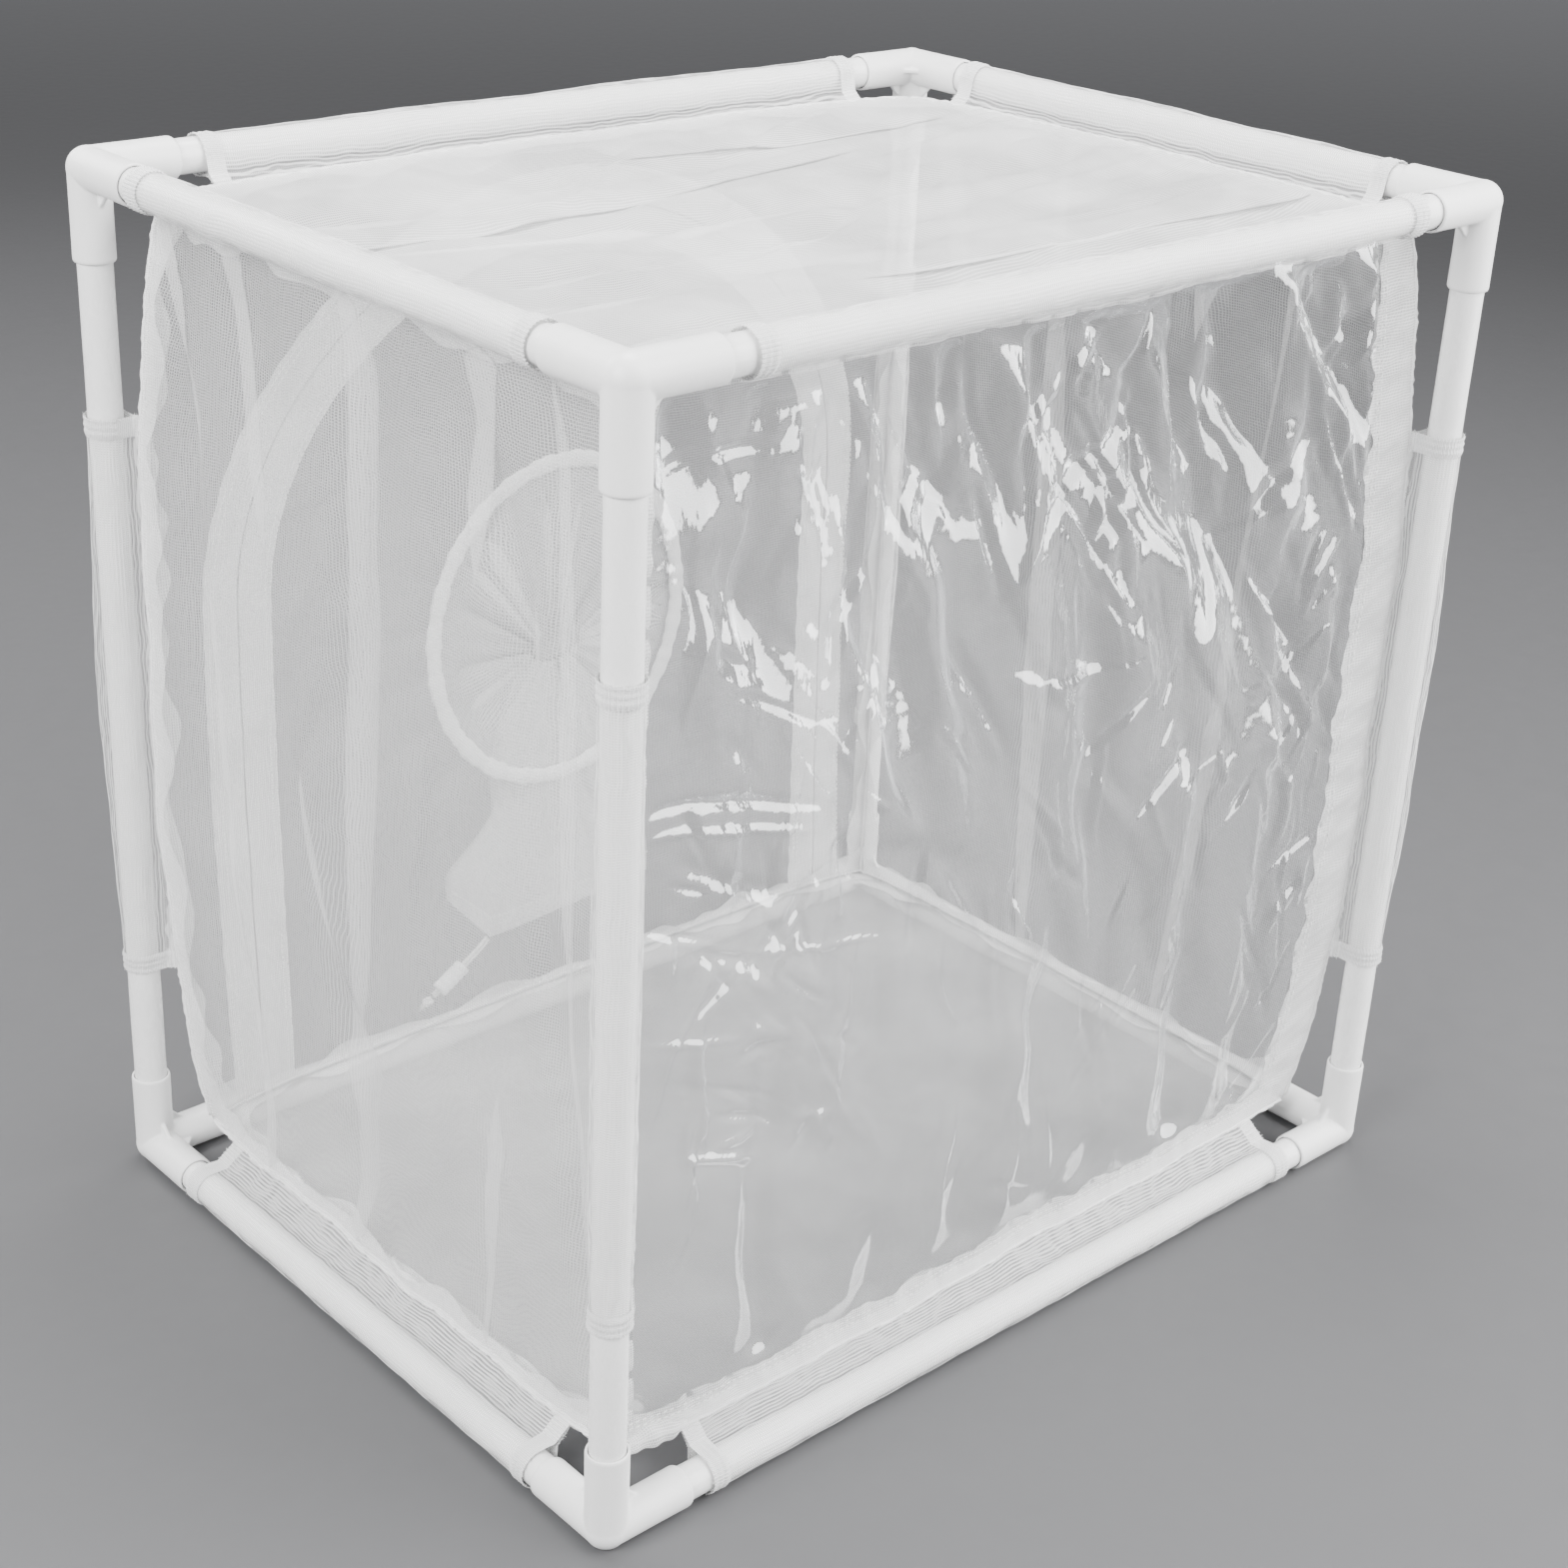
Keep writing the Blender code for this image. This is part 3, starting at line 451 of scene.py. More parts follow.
def film_surface(name, color):
    """Clear flexible film: mirror-like at its creases, clear between them, with a haze of crinkles."""
    made, tree, shader, _, weave = new_surface(name)
    fine = noise(tree, stretched_place(tree, weave, (1.0, 0.35, 1.0), 0.5), 90.0, 3.0, 0.55)
    other = noise(tree, stretched_place(tree, weave, (0.40, 1.0, 1.0), 0.4), 62.0, 2.0, 0.5)
    cloud = noise(tree, weave, 9.0, 3.0, 0.6)
    shader.inputs["Base Color"].default_value = (*color, 1.0)
    shader.inputs["Metallic"].default_value = 0.86
    tree.links.new(ramp(tree, cloud, 0.25, 0.75, 0.045, 0.14), shader.inputs["Roughness"])
    parts = tree.nodes.new("ShaderNodeSeparateXYZ")
    tree.links.new(weave, parts.inputs[0])
    lively = ramp(tree, parts.outputs["Y"], 0.10, 0.36, 0.35, 1.0)
    crinkle = calc(tree, "MULTIPLY", calc(tree, "ADD", fine, other), lively)
    raise_surface(tree, shader, crinkle, 0.0030, 0.28)
    edge = tree.nodes.new("ShaderNodeFresnel")
    edge.inputs["IOR"].default_value = 1.55
    haze = ramp(tree, cloud, 0.25, 0.80, 0.02, 0.085)
    seen = calc(tree, "ADD", calc(tree, "MULTIPLY", edge.outputs[0], 2.6), haze)
    clear = add(tree, "ShaderNodeBsdfTransparent")
    mixed = tree.nodes.new("ShaderNodeMixShader")
    tree.links.new(calc(tree, "MINIMUM", seen, 1.0), mixed.inputs["Fac"])
    tree.links.new(clear, mixed.inputs[1])
    tree.links.new(shader.outputs[0], mixed.inputs[2])
    tree.links.new(mixed.outputs[0], tree.nodes["Material Output"].inputs["Surface"])
    return made


def cord_surface(name, color):
    """Twisted thread: slanting plies in relief."""
    made, tree, shader, place, weave = new_surface(name)
    parts = tree.nodes.new("ShaderNodeSeparateXYZ")
    tree.links.new(weave, parts.inputs[0])
    slant = calc(tree, "ADD", parts.outputs["X"], parts.outputs["Y"])
    ply = threads(tree, slant, 0.0007, 0.8)
    fuzz = noise(tree, place, 2600.0, 3.0)
    # Painted shade: the colour darkens to 0.80 in the grooves between the plies, and by a random fuzz of tone
    # on them.
    tint = calc(tree, "MULTIPLY", ply, fuzz)
    tree.links.new(tinted(tree, tint, shade(color, 0.80), color), shader.inputs["Base Color"])
    tree.links.new(ramp(tree, fuzz, 0.3, 0.7, 0.72, 0.9), shader.inputs["Roughness"])
    raise_surface(tree, shader, calc(tree, "ADD", ply, fuzz), 0.0002, 0.7)
    shader.inputs["Sheen Weight"].default_value = 0.3
    return made


def surface_of(name):
    """The cage's surfaces, each made when it is first asked for."""
    found = bpy.data.materials.get(name)
    if found:
        return found
    colours = bpy.context.scene.cage_colours
    cloth = bpy.context.scene.cloth_sizes
    net = tuple(colours.net)
    plastic = tuple(colours.plastic)
    thread = tuple(colours.thread)
    pitch = cloth.net_pitch
    rib = cloth.rib_pitch
    makers = {
        "Moulded plastic": lambda: plastic_surface(name, plastic, 0.40, False),
        "Drawn pipe": lambda: plastic_surface(name, shade(plastic, 1.015), 0.27, True),
        "Fine net": lambda: net_surface(name, net, pitch, pitch * 1.25, 0.32, 0.06, 0.34),
        "Top net": lambda: net_surface(name, net, pitch, pitch * 1.25, 0.40, 0.34, 0.36),
        "Folded net": lambda: net_surface(name, net, pitch, pitch * 1.25, 0.42, 0.30, 0.45),
        "Gathered net": lambda: net_surface(name, net, pitch, pitch * 1.25, 0.40, 0.20, 0.44),
        "Ribbed gauze": lambda: net_surface(name, net, rib, rib * 0.62, 0.44, 0.07, 0.50, 0.45),
        "Hemmed gauze": lambda: net_surface(name, net, rib * 0.5, rib * 0.4, 0.55, 0.62, 0.35),
        "Floor cloth": lambda: net_surface(name, net, 0.0008, 0.0008, 0.45, 0.20, 0.30),
        "Zip tape": lambda: net_surface(name, net, 0.0006, 0.0009, 0.60, 0.84, 0.15),
        "Seam cloth": lambda: cloth_surface(name, shade(net, 1.04), 0.0010, 0.8, 0.0006),
        "Binding": lambda: cloth_surface(name, shade(net, 1.04), 0.0011, 0.75, 0.0006),
        "Clear film": lambda: film_surface(name, tuple(colours.film)),
        "Stitching": lambda: cord_surface(name, thread),
        "Zip coil": lambda: plastic_surface(name, shade(net, 0.97), 0.38, False),
        "Stopper plastic": lambda: plastic_surface(name, tuple(colours.stopper), 0.34, False),
        "White enamel": lambda: plastic_surface(name, shade(plastic, 1.02), 0.30, False),
    }
    return makers[name]()


# Mesh helpers


def surface_mesh(name, points, weave=None, wrap=False):
    """A mesh from rows of points. wrap joins the last point of each row to its first.

    weave holds the weave coordinates in metres, with one more column than points where it wraps.
    """
    points = np.asarray(points, float)
    rows, columns = points.shape[:2]
    index = np.arange(rows * columns).reshape(rows, columns)
    if wrap:
        index = np.concatenate([index, index[:, :1]], axis=1)
    corners = (index[:-1, :-1], index[:-1, 1:], index[1:, 1:], index[1:, :-1])
    faces = np.stack(corners, axis=-1).reshape(-1, 4)
    mesh = bpy.data.meshes.new(name)
    mesh.from_pydata(points.reshape(-1, 3).tolist(), [], faces.tolist())
    if weave is not None:
        weave = np.asarray(weave, float)
        placed = np.stack((weave[:-1, :-1], weave[:-1, 1:], weave[1:, 1:], weave[1:, :-1]), axis=2)
        layer = mesh.uv_layers.new(name="Weave")
        layer.data.foreach_set("uv", placed.reshape(-1).astype(np.float32))
    mesh.shade_smooth()
    return mesh


def joined_mesh(name, meshes):
    """One mesh from several, which are removed."""
    shape = bmesh.new()
    for mesh in meshes:
        shape.from_mesh(mesh)
        bpy.data.meshes.remove(mesh)
    mesh = bpy.data.meshes.new(name)
    shape.to_mesh(mesh)
    shape.free()
    return mesh


def piece(name, mesh, surface, body, replaces=(), place=None):
    """A piece of the cage: it gets its surface, stands for its CAD nodes and rides on its body."""
    made = bpy.data.objects.new(name, mesh)
    bpy.context.scene.collection.objects.link(made)
    mesh.materials.clear()
    mesh.materials.append(surface_of(surface))
    if place is not None:
        made.matrix_world = place
    if body:
        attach(made, body)
    if replaces:
        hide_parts(*replaces)
    return made


def arc_lengths(path):
    steps = np.linalg.norm(np.diff(path, axis=0), axis=1)
    return np.concatenate([[0.0], np.cumsum(steps)])


def evenly(path, step):
    """The path with points about a step apart."""
    path = np.asarray(path, float)
    run = arc_lengths(path)
    count = max(2, int(round(run[-1] / step)) + 1)
    wanted = np.linspace(0, run[-1], count)
    return np.stack([np.interp(wanted, run, path[:, i]) for i in range(path.shape[1])], axis=1)


def smooth_path(path, step):
    """A smooth curve through the points of a short route, with points about a step apart."""
    path = np.asarray(path, float)
    ends = np.concatenate([[2 * path[0] - path[1]], path, [2 * path[-1] - path[-2]]])
    t = np.linspace(0, 1, 16, endpoint=False)[:, None]
    runs = []
    for before, start, end, after in zip(ends, ends[1:], ends[2:], ends[3:]):
        bend = 2 * before - 5 * start + 4 * end - after
        twist = 3 * (start - end) + after - before
        runs.append(start + 0.5 * t * ((end - before) + t * (bend + t * twist)))
    return evenly(np.concatenate([*runs, path[-1:]]), step)


def travelling_axes(path, closed=False, up=(0.0, 0.0, 1.0)):
    """Side and top directions at each point of a path, which turn with it and don't twist."""
    if closed:
        along = np.roll(path, -1, axis=0) - np.roll(path, 1, axis=0)
    else:
        along = np.gradient(path, axis=0)
    along /= np.linalg.norm(along, axis=1)[:, None]
    side = np.cross(along[0], up)
    if np.linalg.norm(side) < 1e-6:
        side = np.cross(along[0], (0.0, 1.0, 0.0))
    sides = []
    for direction in along:
        side = side - direction * side.dot(direction)
        side = side / np.linalg.norm(side)
        sides.append(side)
    sides = np.array(sides)
    return sides, np.cross(sides, along)


def swept_mesh(name, path, radius, sides=8, closed=False, flat=1.0, up=(0.0, 0.0, 1.0)):
    """A tube along a path. radius is one number or one for each point, flat its thickness share."""
    path = np.asarray(path, float)
    side, top = travelling_axes(path, closed, up)
    run = arc_lengths(path)
    turns = np.linspace(0, 2 * math.pi, sides, endpoint=False)[None, :]
    radius = np.asarray(radius, float)
    if radius.ndim == 1:
        radius = radius[:, None]
    across = (radius * np.cos(turns))[..., None] * side[:, None]
    over = (radius * flat * np.sin(turns))[..., None] * top[:, None]
    points = path[:, None] + across + over
    girth = 2 * math.pi * float(np.mean(radius)) * np.linspace(0, 1, sides + 1)
    weave = np.stack(np.broadcast_arrays(girth[None, :], run[:, None]), axis=-1)
    if closed:
        points = np.concatenate([points, points[:1]])
        weave = np.concatenate([weave, weave[-1:] + [0.0, run[1]]])
    mesh = surface_mesh(name, points, weave, wrap=True)
    if closed:
        shape = bmesh.new()
        shape.from_mesh(mesh)
        bmesh.ops.remove_doubles(shape, verts=shape.verts, dist=1e-7)
        shape.to_mesh(mesh)
        shape.free()
    else:
        close_ends(mesh)
    return mesh


def close_ends(mesh):
    shape = bmesh.new()
    shape.from_mesh(mesh)
    rims = [edge for edge in shape.edges if edge.is_boundary]
    for face in bmesh.ops.holes_fill(shape, edges=rims, sides=0)["faces"]:
        face.smooth = False
    shape.to_mesh(mesh)
    shape.free()


def turned_mesh(name, profile, sides):
    """A closed profile of (radius, height) points turned about Z, with softly shaded bands."""
    profile = np.asarray(profile, float)
    turns = np.linspace(0, 2 * math.pi, sides, endpoint=False)
    ring = np.stack([np.cos(turns), np.sin(turns)], axis=1)
    flat = profile[:, :1, None] * ring[None]
    heights = np.broadcast_to(profile[:, 1][:, None, None], (len(profile), sides, 1))
    points = np.concatenate([flat, heights], axis=-1)
    run = arc_lengths(profile)
    girth = 2 * math.pi * float(profile[:, 0].max()) * np.linspace(0, 1, sides + 1)
    weave = np.stack(np.broadcast_arrays(girth[None, :], run[:, None]), axis=-1)
    mesh = surface_mesh(name, points, weave, wrap=True)
    shape = bmesh.new()
    shape.from_mesh(mesh)
    bmesh.ops.remove_doubles(shape, verts=shape.verts, dist=1e-7)
    bmesh.ops.recalc_face_normals(shape, faces=shape.faces)
    for edge in shape.edges:
        edge.smooth = edge.is_manifold and edge.calc_face_angle(0.0) < math.radians(40)
    shape.to_mesh(mesh)
    shape.free()
    return mesh


def scattered_mesh(name, corners, faces, axes, places):
    """Copies of one small shape, each with its own three axes and place."""
    corners = np.asarray(corners, float)
    points = np.einsum("kij,vi->kvj", axes, corners) + places[:, None]
    offsets = (np.arange(len(places)) * len(corners))[:, None, None]
    all_faces = (np.asarray(faces)[None] + offsets).reshape(-1, len(faces[0]))
    mesh = bpy.data.meshes.new(name)
    mesh.from_pydata(points.reshape(-1, 3).tolist(), [], all_faces.tolist())
    mesh.shade_smooth()
    return mesh


def stitch_mesh(path, facing, pitch=0.0032, share=0.68, width=0.00055):
    """A row of stitches along a path. facing is the way that the cloth faces, for all or at each point."""
    spots = evenly(path, pitch)
    facing = np.asarray(facing, float)
    if facing.ndim == 2:
        facing = facing[np.linspace(0, len(facing) - 1, len(spots)).round().astype(int)]
    facing = np.broadcast_to(facing, spots.shape)
    along = np.gradient(spots, axis=0)
    along = along - facing * (along * facing).sum(axis=1)[:, None]
    along /= np.linalg.norm(along, axis=1)[:, None]
    aside = np.cross(facing, along)
    axes = np.stack([along * pitch * share / 2, aside * width / 2, facing * width * 0.45], axis=1)
    ring = [(math.cos(a), math.sin(a)) for a in np.linspace(0, 2 * math.pi, 6, endpoint=False)]
    corners = []
    for x, size in ((-1.0, 0.15), (-0.75, 0.85), (0.75, 0.85), (1.0, 0.15)):
        corners += [(x, y * size, z * size) for y, z in ring]
    faces = []
    for row in range(3):
        for i in range(6):
            j = (i + 1) % 6
            faces.append((row * 6 + i, row * 6 + j, row * 6 + 6 + j, row * 6 + 6 + i))
    return scattered_mesh("stitches", corners, faces, axes, spots + facing * width * 0.2)


def fray_mesh(name, roots, directions, rng, length=0.003, thickness=0.00016):
    """Loose thread ends: thin bent spikes that stand out from the roots."""
    count = len(roots)
    reach = length * rng.uniform(0.4, 1.2, count)[:, None]
    out = directions + rng.normal(0, 0.45, (count, 3))
    out /= np.linalg.norm(out, axis=1)[:, None]
    other = np.cross(out, rng.normal(0, 1, (count, 3)))
    other /= np.linalg.norm(other, axis=1)[:, None]
    third = np.cross(out, other)
    axes = np.stack([out * reach, other * thickness, third * thickness], axis=1)
    bend = float(length / thickness) * 0.06
    corners = []
    for x, size, lean in ((0.0, 1.0, 0.0), (0.5, 0.9, 0.35 * bend), (1.0, 0.35, bend)):
        for turn in (0, 2 * math.pi / 3, 4 * math.pi / 3):
            corners.append((x, size * math.cos(turn) + lean, size * math.sin(turn)))
    faces = []
    for row in range(2):
        for i in range(3):
            j = (i + 1) % 3
            faces.append((row * 3 + i, row * 3 + j, row * 3 + 3 + j, row * 3 + 3 + i))
    return scattered_mesh(name, corners, faces, axes, roots)


# The tent's surface


def fade(distance, reach):
    """0 at a sewn edge, rising smoothly to 1 at the given distance from it."""
    part = np.clip(distance / reach, 0, 1)
    return part * part * (3 - 2 * part)


def seam(direction, first, second, t):
    """Points along one sewn edge of the tent, for t from 0 to 1.

    It runs along one axis, and first and second are the signs of the other two.
    """
    t = np.asarray(t, float)
    u = 2 * t - 1
    middle, slope, bow = SEAM_INSETS.get((direction, first, second), POST_SEAM_INSET)
    inset = middle + slope * u + bow * u**2
    inset = inset + (CORNER_INSET - middle - slope - bow) * np.clip(u, 0, 1) ** 8
    inset = inset + (CORNER_INSET - middle + slope - bow) * np.clip(-u, 0, 1) ** 8
    start = 1.7 * "XYZ".index(direction) + 0.9 * first + 2.3 * second
    slow = 0.0008 * np.sin(2 * math.pi * (2.6 * t + start))
    quick = 0.00045 * np.sin(2 * math.pi * (7.3 * t - start))
    sway = (slow + quick) * np.sin(math.pi * t)
    inset = inset + sway
    if direction == "Z":
        height = TENT_LOW + (TENT_HIGH - TENT_LOW) * t
        return np.stack([first * (HALF_X - inset), second * (HALF_Y - inset), height], axis=-1)
    high = TENT_HIGH + 0.0010 * (1 - u**2)
    height = (high if second > 0 else TENT_LOW + 0.0 * t) + 0.6 * sway
    half = HALF_X if direction == "X" else HALF_Y
    run = (half - CORNER_INSET) * u
    side = first * ((HALF_Y if direction == "X" else HALF_X) - inset)
    parts = [run, side, height] if direction == "X" else [side, run, height]
    return np.stack(parts, axis=-1)


def stretched(panel, u, v):
    """Points of a tent panel for u and v from 0 to 1. It meets its four seams and is flat far from them."""
    u, v = np.broadcast_arrays(np.asarray(u, float), np.asarray(v, float))
    low, high, start, end = PANEL_SEAMS[panel]
    low_left, low_right = seam(*low, 0.0), seam(*low, 1.0)
    high_left, high_right = seam(*high, 0.0), seam(*high, 1.0)
    a, b = u[..., None], v[..., None]
    flat = (1 - a) * ((1 - b) * low_left + b * high_left) + a * ((1 - b) * low_right + b * high_right)
    edges = [seam(*low, u), seam(*high, u), seam(*start, v), seam(*end, v)]
    up_down = (1 - b) * edges[0] + b * edges[1]
    left_right = (1 - a) * edges[2] + a * edges[3]
    points = up_down + left_right - flat
    tall = np.linalg.norm(high_left - low_left)
    wide = np.linalg.norm(low_right - low_left)
    axis, place = PANEL_PLACES[panel]
    total = SEAM_PULL**-2
    depth = place * total
    for edge, distance in zip(edges, (v * tall, (1 - v) * tall, u * wide, (1 - u) * wide)):
        pull = (distance + 0.0001) ** -2
        depth = depth + edge[..., axis] * pull
        total = total + pull
    points[..., axis] = depth / total
    return points


def folded(across, along, folds):
    """Depth of long soft folds at points of a panel."""
    depth = 0.0
    for place, lean, height, half_width in folds:
        wave = 0.25 * half_width * np.sin(along * 31 + place * 90)
        offset = (across - place - lean * along - wave) / half_width
        depth = depth + height * np.exp(-offset * offset) * (1 + 0.25 * np.sin(along * 17 + place * 50))
    return depth


def lapped(across, along, laps):
    """How far the cloth is pushed sideways where it doubles back on itself."""
    push = 0.0
    for place, lean, half_width, low, high, fullness in laps:
        offset = (across - place - lean * along - 0.0015 * np.sin(along * 23 + place * 70)) / half_width
        strength = (fullness + 0.6 * np.sin(along * 13 + place * 40)) * fade(along - low, 0.08)
        strength = strength * fade(high - along, 0.08)
        push = push - strength * half_width * offset * np.exp(-offset * offset)
    return push


def creased(x, z, folds, sharp):
    """Height of short fold lines. Each has its place, angle, length, two widths, height and bend."""
    height = np.zeros(np.broadcast(x, z).shape)
    for place_x, place_z, angle, length, wide, narrow, tall, bend in folds:
        turn, rise = math.cos(angle), math.sin(angle)
        along = (x - place_x) * turn + (z - place_z) * rise
        off = (z - place_z) * turn - (x - place_x) * rise + bend * along * along
        slope = np.where(off > 0, off / wide, -off / narrow)
        if sharp:
            body = np.clip(1 - slope, 0, 1)
        else:
            body = np.exp(-slope * slope)
        height += tall * body * np.clip(1 - (2 * along / length) ** 2, 0, 1)
    return height


def fold_lines(rng, count, box, angle, spread, length, width, tall, upward=0.5):
    """Random fold lines in a box, as creased() takes them. Each range is (least, most).

    upward is the share of the folds whose broad side leans back and faces a little upwards.
    """
    lines = []
    for _ in range(count):
        size = rng.uniform(*width)
        lines.append(
            (
                rng.uniform(box[0], box[1]),
                rng.uniform(box[2], box[3]),
                angle + rng.normal(0, spread),
                rng.uniform(*length),
                size,
                size * rng.uniform(0.35, 1.0),
                rng.uniform(*tall) * (1 if rng.uniform() < upward else -1),
                rng.normal(0, 1.2),
            )
        )
    return lines


def puckers(distance, run, start):
    """Small gathers beside a seam, at a distance from it and a place along it."""
    wave = np.sin(run * 2 * math.pi / 0.011 + 2.4 * np.sin(run * 47 + start))
    return 0.0010 * wave * np.exp(-distance / 0.012) * fade(distance, 0.004)


def hung_panel(name, panel, steps, depth_at, laps=()):
    """A panel's mesh: stretched between its seams, then folded inwards by depth_at(points), with laps."""
    u = np.linspace(0, 1, steps[0] + 1)[None, :]
    v = np.linspace(0, 1, steps[1] + 1)[:, None]
    points = stretched(panel, u, v)
    wide = np.linalg.norm(points[len(points) // 2, -1] - points[len(points) // 2, 0])
    tall = np.linalg.norm(points[-1, points.shape[1] // 2] - points[0, points.shape[1] // 2])
    side = np.minimum(u, 1 - u) * wide + 0 * v
    end = np.minimum(v, 1 - v) * tall + 0 * u
    held = fade(side, 0.032) * fade(end, 0.040)
    depth = depth_at(points) * held + puckers(side, v * tall, wide) + puckers(end, u * wide, tall)
    across, along = (1, 0) if panel == "top" else (1, 2)
    middle = 0.0 if panel == "top" else (TENT_LOW + TENT_HIGH) / 2
    push = lapped(points[..., across], points[..., along] - middle, laps)
    push = push * fade(side, 0.020) * fade(end, 0.010)
    points = points + np.asarray(INWARD[panel], float) * depth[..., None]
    points[..., across] += push
    weave = np.stack(np.broadcast_arrays(u * wide, v * tall), axis=-1)
    return surface_mesh(name, points, weave)


def hem_mesh(name, panel, width, start):
    """Strips of doubled cloth inside a panel's four edges, wider at the corners, with wavy free edges."""
    low, _, left, _ = PANEL_SEAMS[panel]
    wide = np.linalg.norm(seam(*low, 1.0) - seam(*low, 0.0))
    tall = np.linalg.norm(seam(*left, 1.0) - seam(*left, 0.0))
    t = np.linspace(0, 1, 301)[:, None]
    part = np.linspace(0, 1, 8)[None, :]
    meshes = []
    edges = (
        (tall, wide, True, False),
        (tall, wide, True, True),
        (wide, tall, False, False),
        (wide, tall, False, True),
    )
    for number, (length, room, upright, far) in enumerate(edges):
        run = t * length
        wave = 0.30 * np.sin(run * 71 + start + number)
        wave = wave + 0.22 * np.sin(run * 163 + 2 * number + 3 * np.sin(run * 19))
        corner = 1.3 * np.exp(-np.minimum(run, length - run) / 0.018)
        reach = width * (1 + wave + corner) * part
        across = reach / room if not far else 1 - reach / room
        u, v = (across, t + 0 * part) if upright else (t + 0 * part, across)
        points = stretched(panel, u, v)
        curl = 0.0009 + 0.0012 * part**2 * (1 + np.sin(run * 97 + number))
        points = points + np.asarray(INWARD[panel], float) * curl[..., None]
        weave = np.stack(np.broadcast_arrays(reach, run), axis=-1)
        meshes.append(surface_mesh("hem", points, weave))
    return joined_mesh(name, meshes)


def rear_y(x, z):
    """How far back the rear net is at a point of its plane."""
    v = np.clip((z - TENT_LOW) / (TENT_HIGH - TENT_LOW), 0, 1)
    half = -seam("Z", -1, 1, v)[..., 0]
    return stretched("rear", (x / half + 1) / 2, v)[..., 1]


def rear_points(x, z, lift=0.0):
    """Points on the rear net from their place in its plane, lifted outwards."""
    x, z = np.broadcast_arrays(np.asarray(x, float), np.asarray(z, float))
    return np.stack([x, rear_y(x, z) + lift, z], axis=-1)


def zip_line(offset, foot):
    """The zip's arch moved outwards by offset, in the rear plane, from left foot to right foot."""
    half = ARCH_HALF_WIDTH + offset
    rise = ARCH_RISE + offset
    heights = np.linspace(foot, ARCH_SPRING, 60)[:-1]
    turns = np.linspace(math.pi, 0, 181)
    x = np.concatenate([-half + 0 * heights, half * np.cos(turns), half + 0 * heights])
    z = np.concatenate([heights, ARCH_SPRING + rise * np.sin(turns), heights[::-1]])
    return x, z


def zip_band(name, inner, outer, foot, lift, ripple):
    """A strip of the rear plane between two offsets of the zip line."""
    steps = np.linspace(0, 1, 9)
    lines = []
    for step in steps:
        x, z = zip_line(inner + (outer - inner) * step, foot)
        lines.append(np.stack([x, z], axis=1))
    lines = np.array(lines)
    run = arc_lengths(lines[0])
    wave = np.sin(run * 2 * math.pi / 0.017 + 2 * np.sin(run * 29)) * ripple
    lifts = lift + wave[None, :] * steps[:, None] ** 2
    points = rear_points(lines[..., 0], lines[..., 1], lifts)
    weave = np.stack(np.broadcast_arrays(abs(outer - inner) * steps[:, None], run[None, :]), axis=-1)
    return surface_mesh(name, points, weave)


# Pieces


def corner_fitting_mesh(sizes, foot):
    """Three sockets along +X, +Y and +Z on a round knuckle, with thin webs between them, melted into one."""
    reach = sizes.socket_reach
    outer = sizes.socket_radius
    bore = sizes.radius + 0.0003
    profile = (
        (0.0, -0.001),
        (outer, -0.001),
        (outer, reach * 0.6),
        (outer + 0.0001, reach - 0.0012),
        (outer - 0.0004, reach),
        (bore + 0.0002, reach),
        (bore, reach - 0.001),
        (bore, sizes.socket_stop),
        (0.0, sizes.socket_stop),
    )
    shape = bmesh.new()
    arm = turned_mesh("arm", profile, 64)
    ways = (
        Matrix.Identity(4),
        Matrix.Rotation(math.pi / 2, 4, "Y"),
        Matrix.Rotation(-math.pi / 2, 4, "X"),
    )
    for way in ways:
        turned = arm.copy()
        turned.transform(way)
        shape.from_mesh(turned)
        bpy.data.meshes.remove(turned)
    bpy.data.meshes.remove(arm)
    bmesh.ops.create_uvsphere(shape, u_segments=48, v_segments=24, radius=0.0097)
    near = outer * 0.86
    far = outer + sizes.web_leg
    thick = 0.0011
    for first, second, third in ((0, 1, 2), (1, 2, 0), (2, 0, 1)):
        corners = []
        for level in (-thick, thick):
            for a, b in ((near, near), (far, near), (near, far)):
                corner = [0.0, 0.0, 0.0]
                corner[first], corner[second], corner[third] = a, b, level
                corners.append(shape.verts.new(corner))
        shape.faces.new(corners[:3][::-1])
        shape.faces.new(corners[3:])
        for i in range(3):
            j = (i + 1) % 3
            shape.faces.new((corners[i], corners[j], corners[j + 3], corners[i + 3]))
    bmesh.ops.recalc_face_normals(shape, faces=shape.faces)
    rough = bpy.data.meshes.new("fitting")
    shape.to_mesh(rough)
    shape.free()
    helper = bpy.data.objects.new("fitting_helper", rough)
    bpy.context.scene.collection.objects.link(helper)
    melt = helper.modifiers.new("Melt", "REMESH")
    melt.mode = "VOXEL"
    melt.voxel_size = 0.00055
    soften = helper.modifiers.new("Soften", "SMOOTH")
    soften.factor = 0.5
    soften.iterations = 5
    bpy.context.view_layer.update()
    evaluated = helper.evaluated_get(bpy.context.evaluated_depsgraph_get())
    mesh = bpy.data.meshes.new_from_object(evaluated)
    bpy.data.objects.remove(helper, do_unlink=True)
    bpy.data.meshes.remove(rough)
    if foot:
        for vertex in mesh.vertices:
            vertex.co.z = max(vertex.co.z, -AXIS_LOW)
    mesh.shade_smooth()
    return mesh


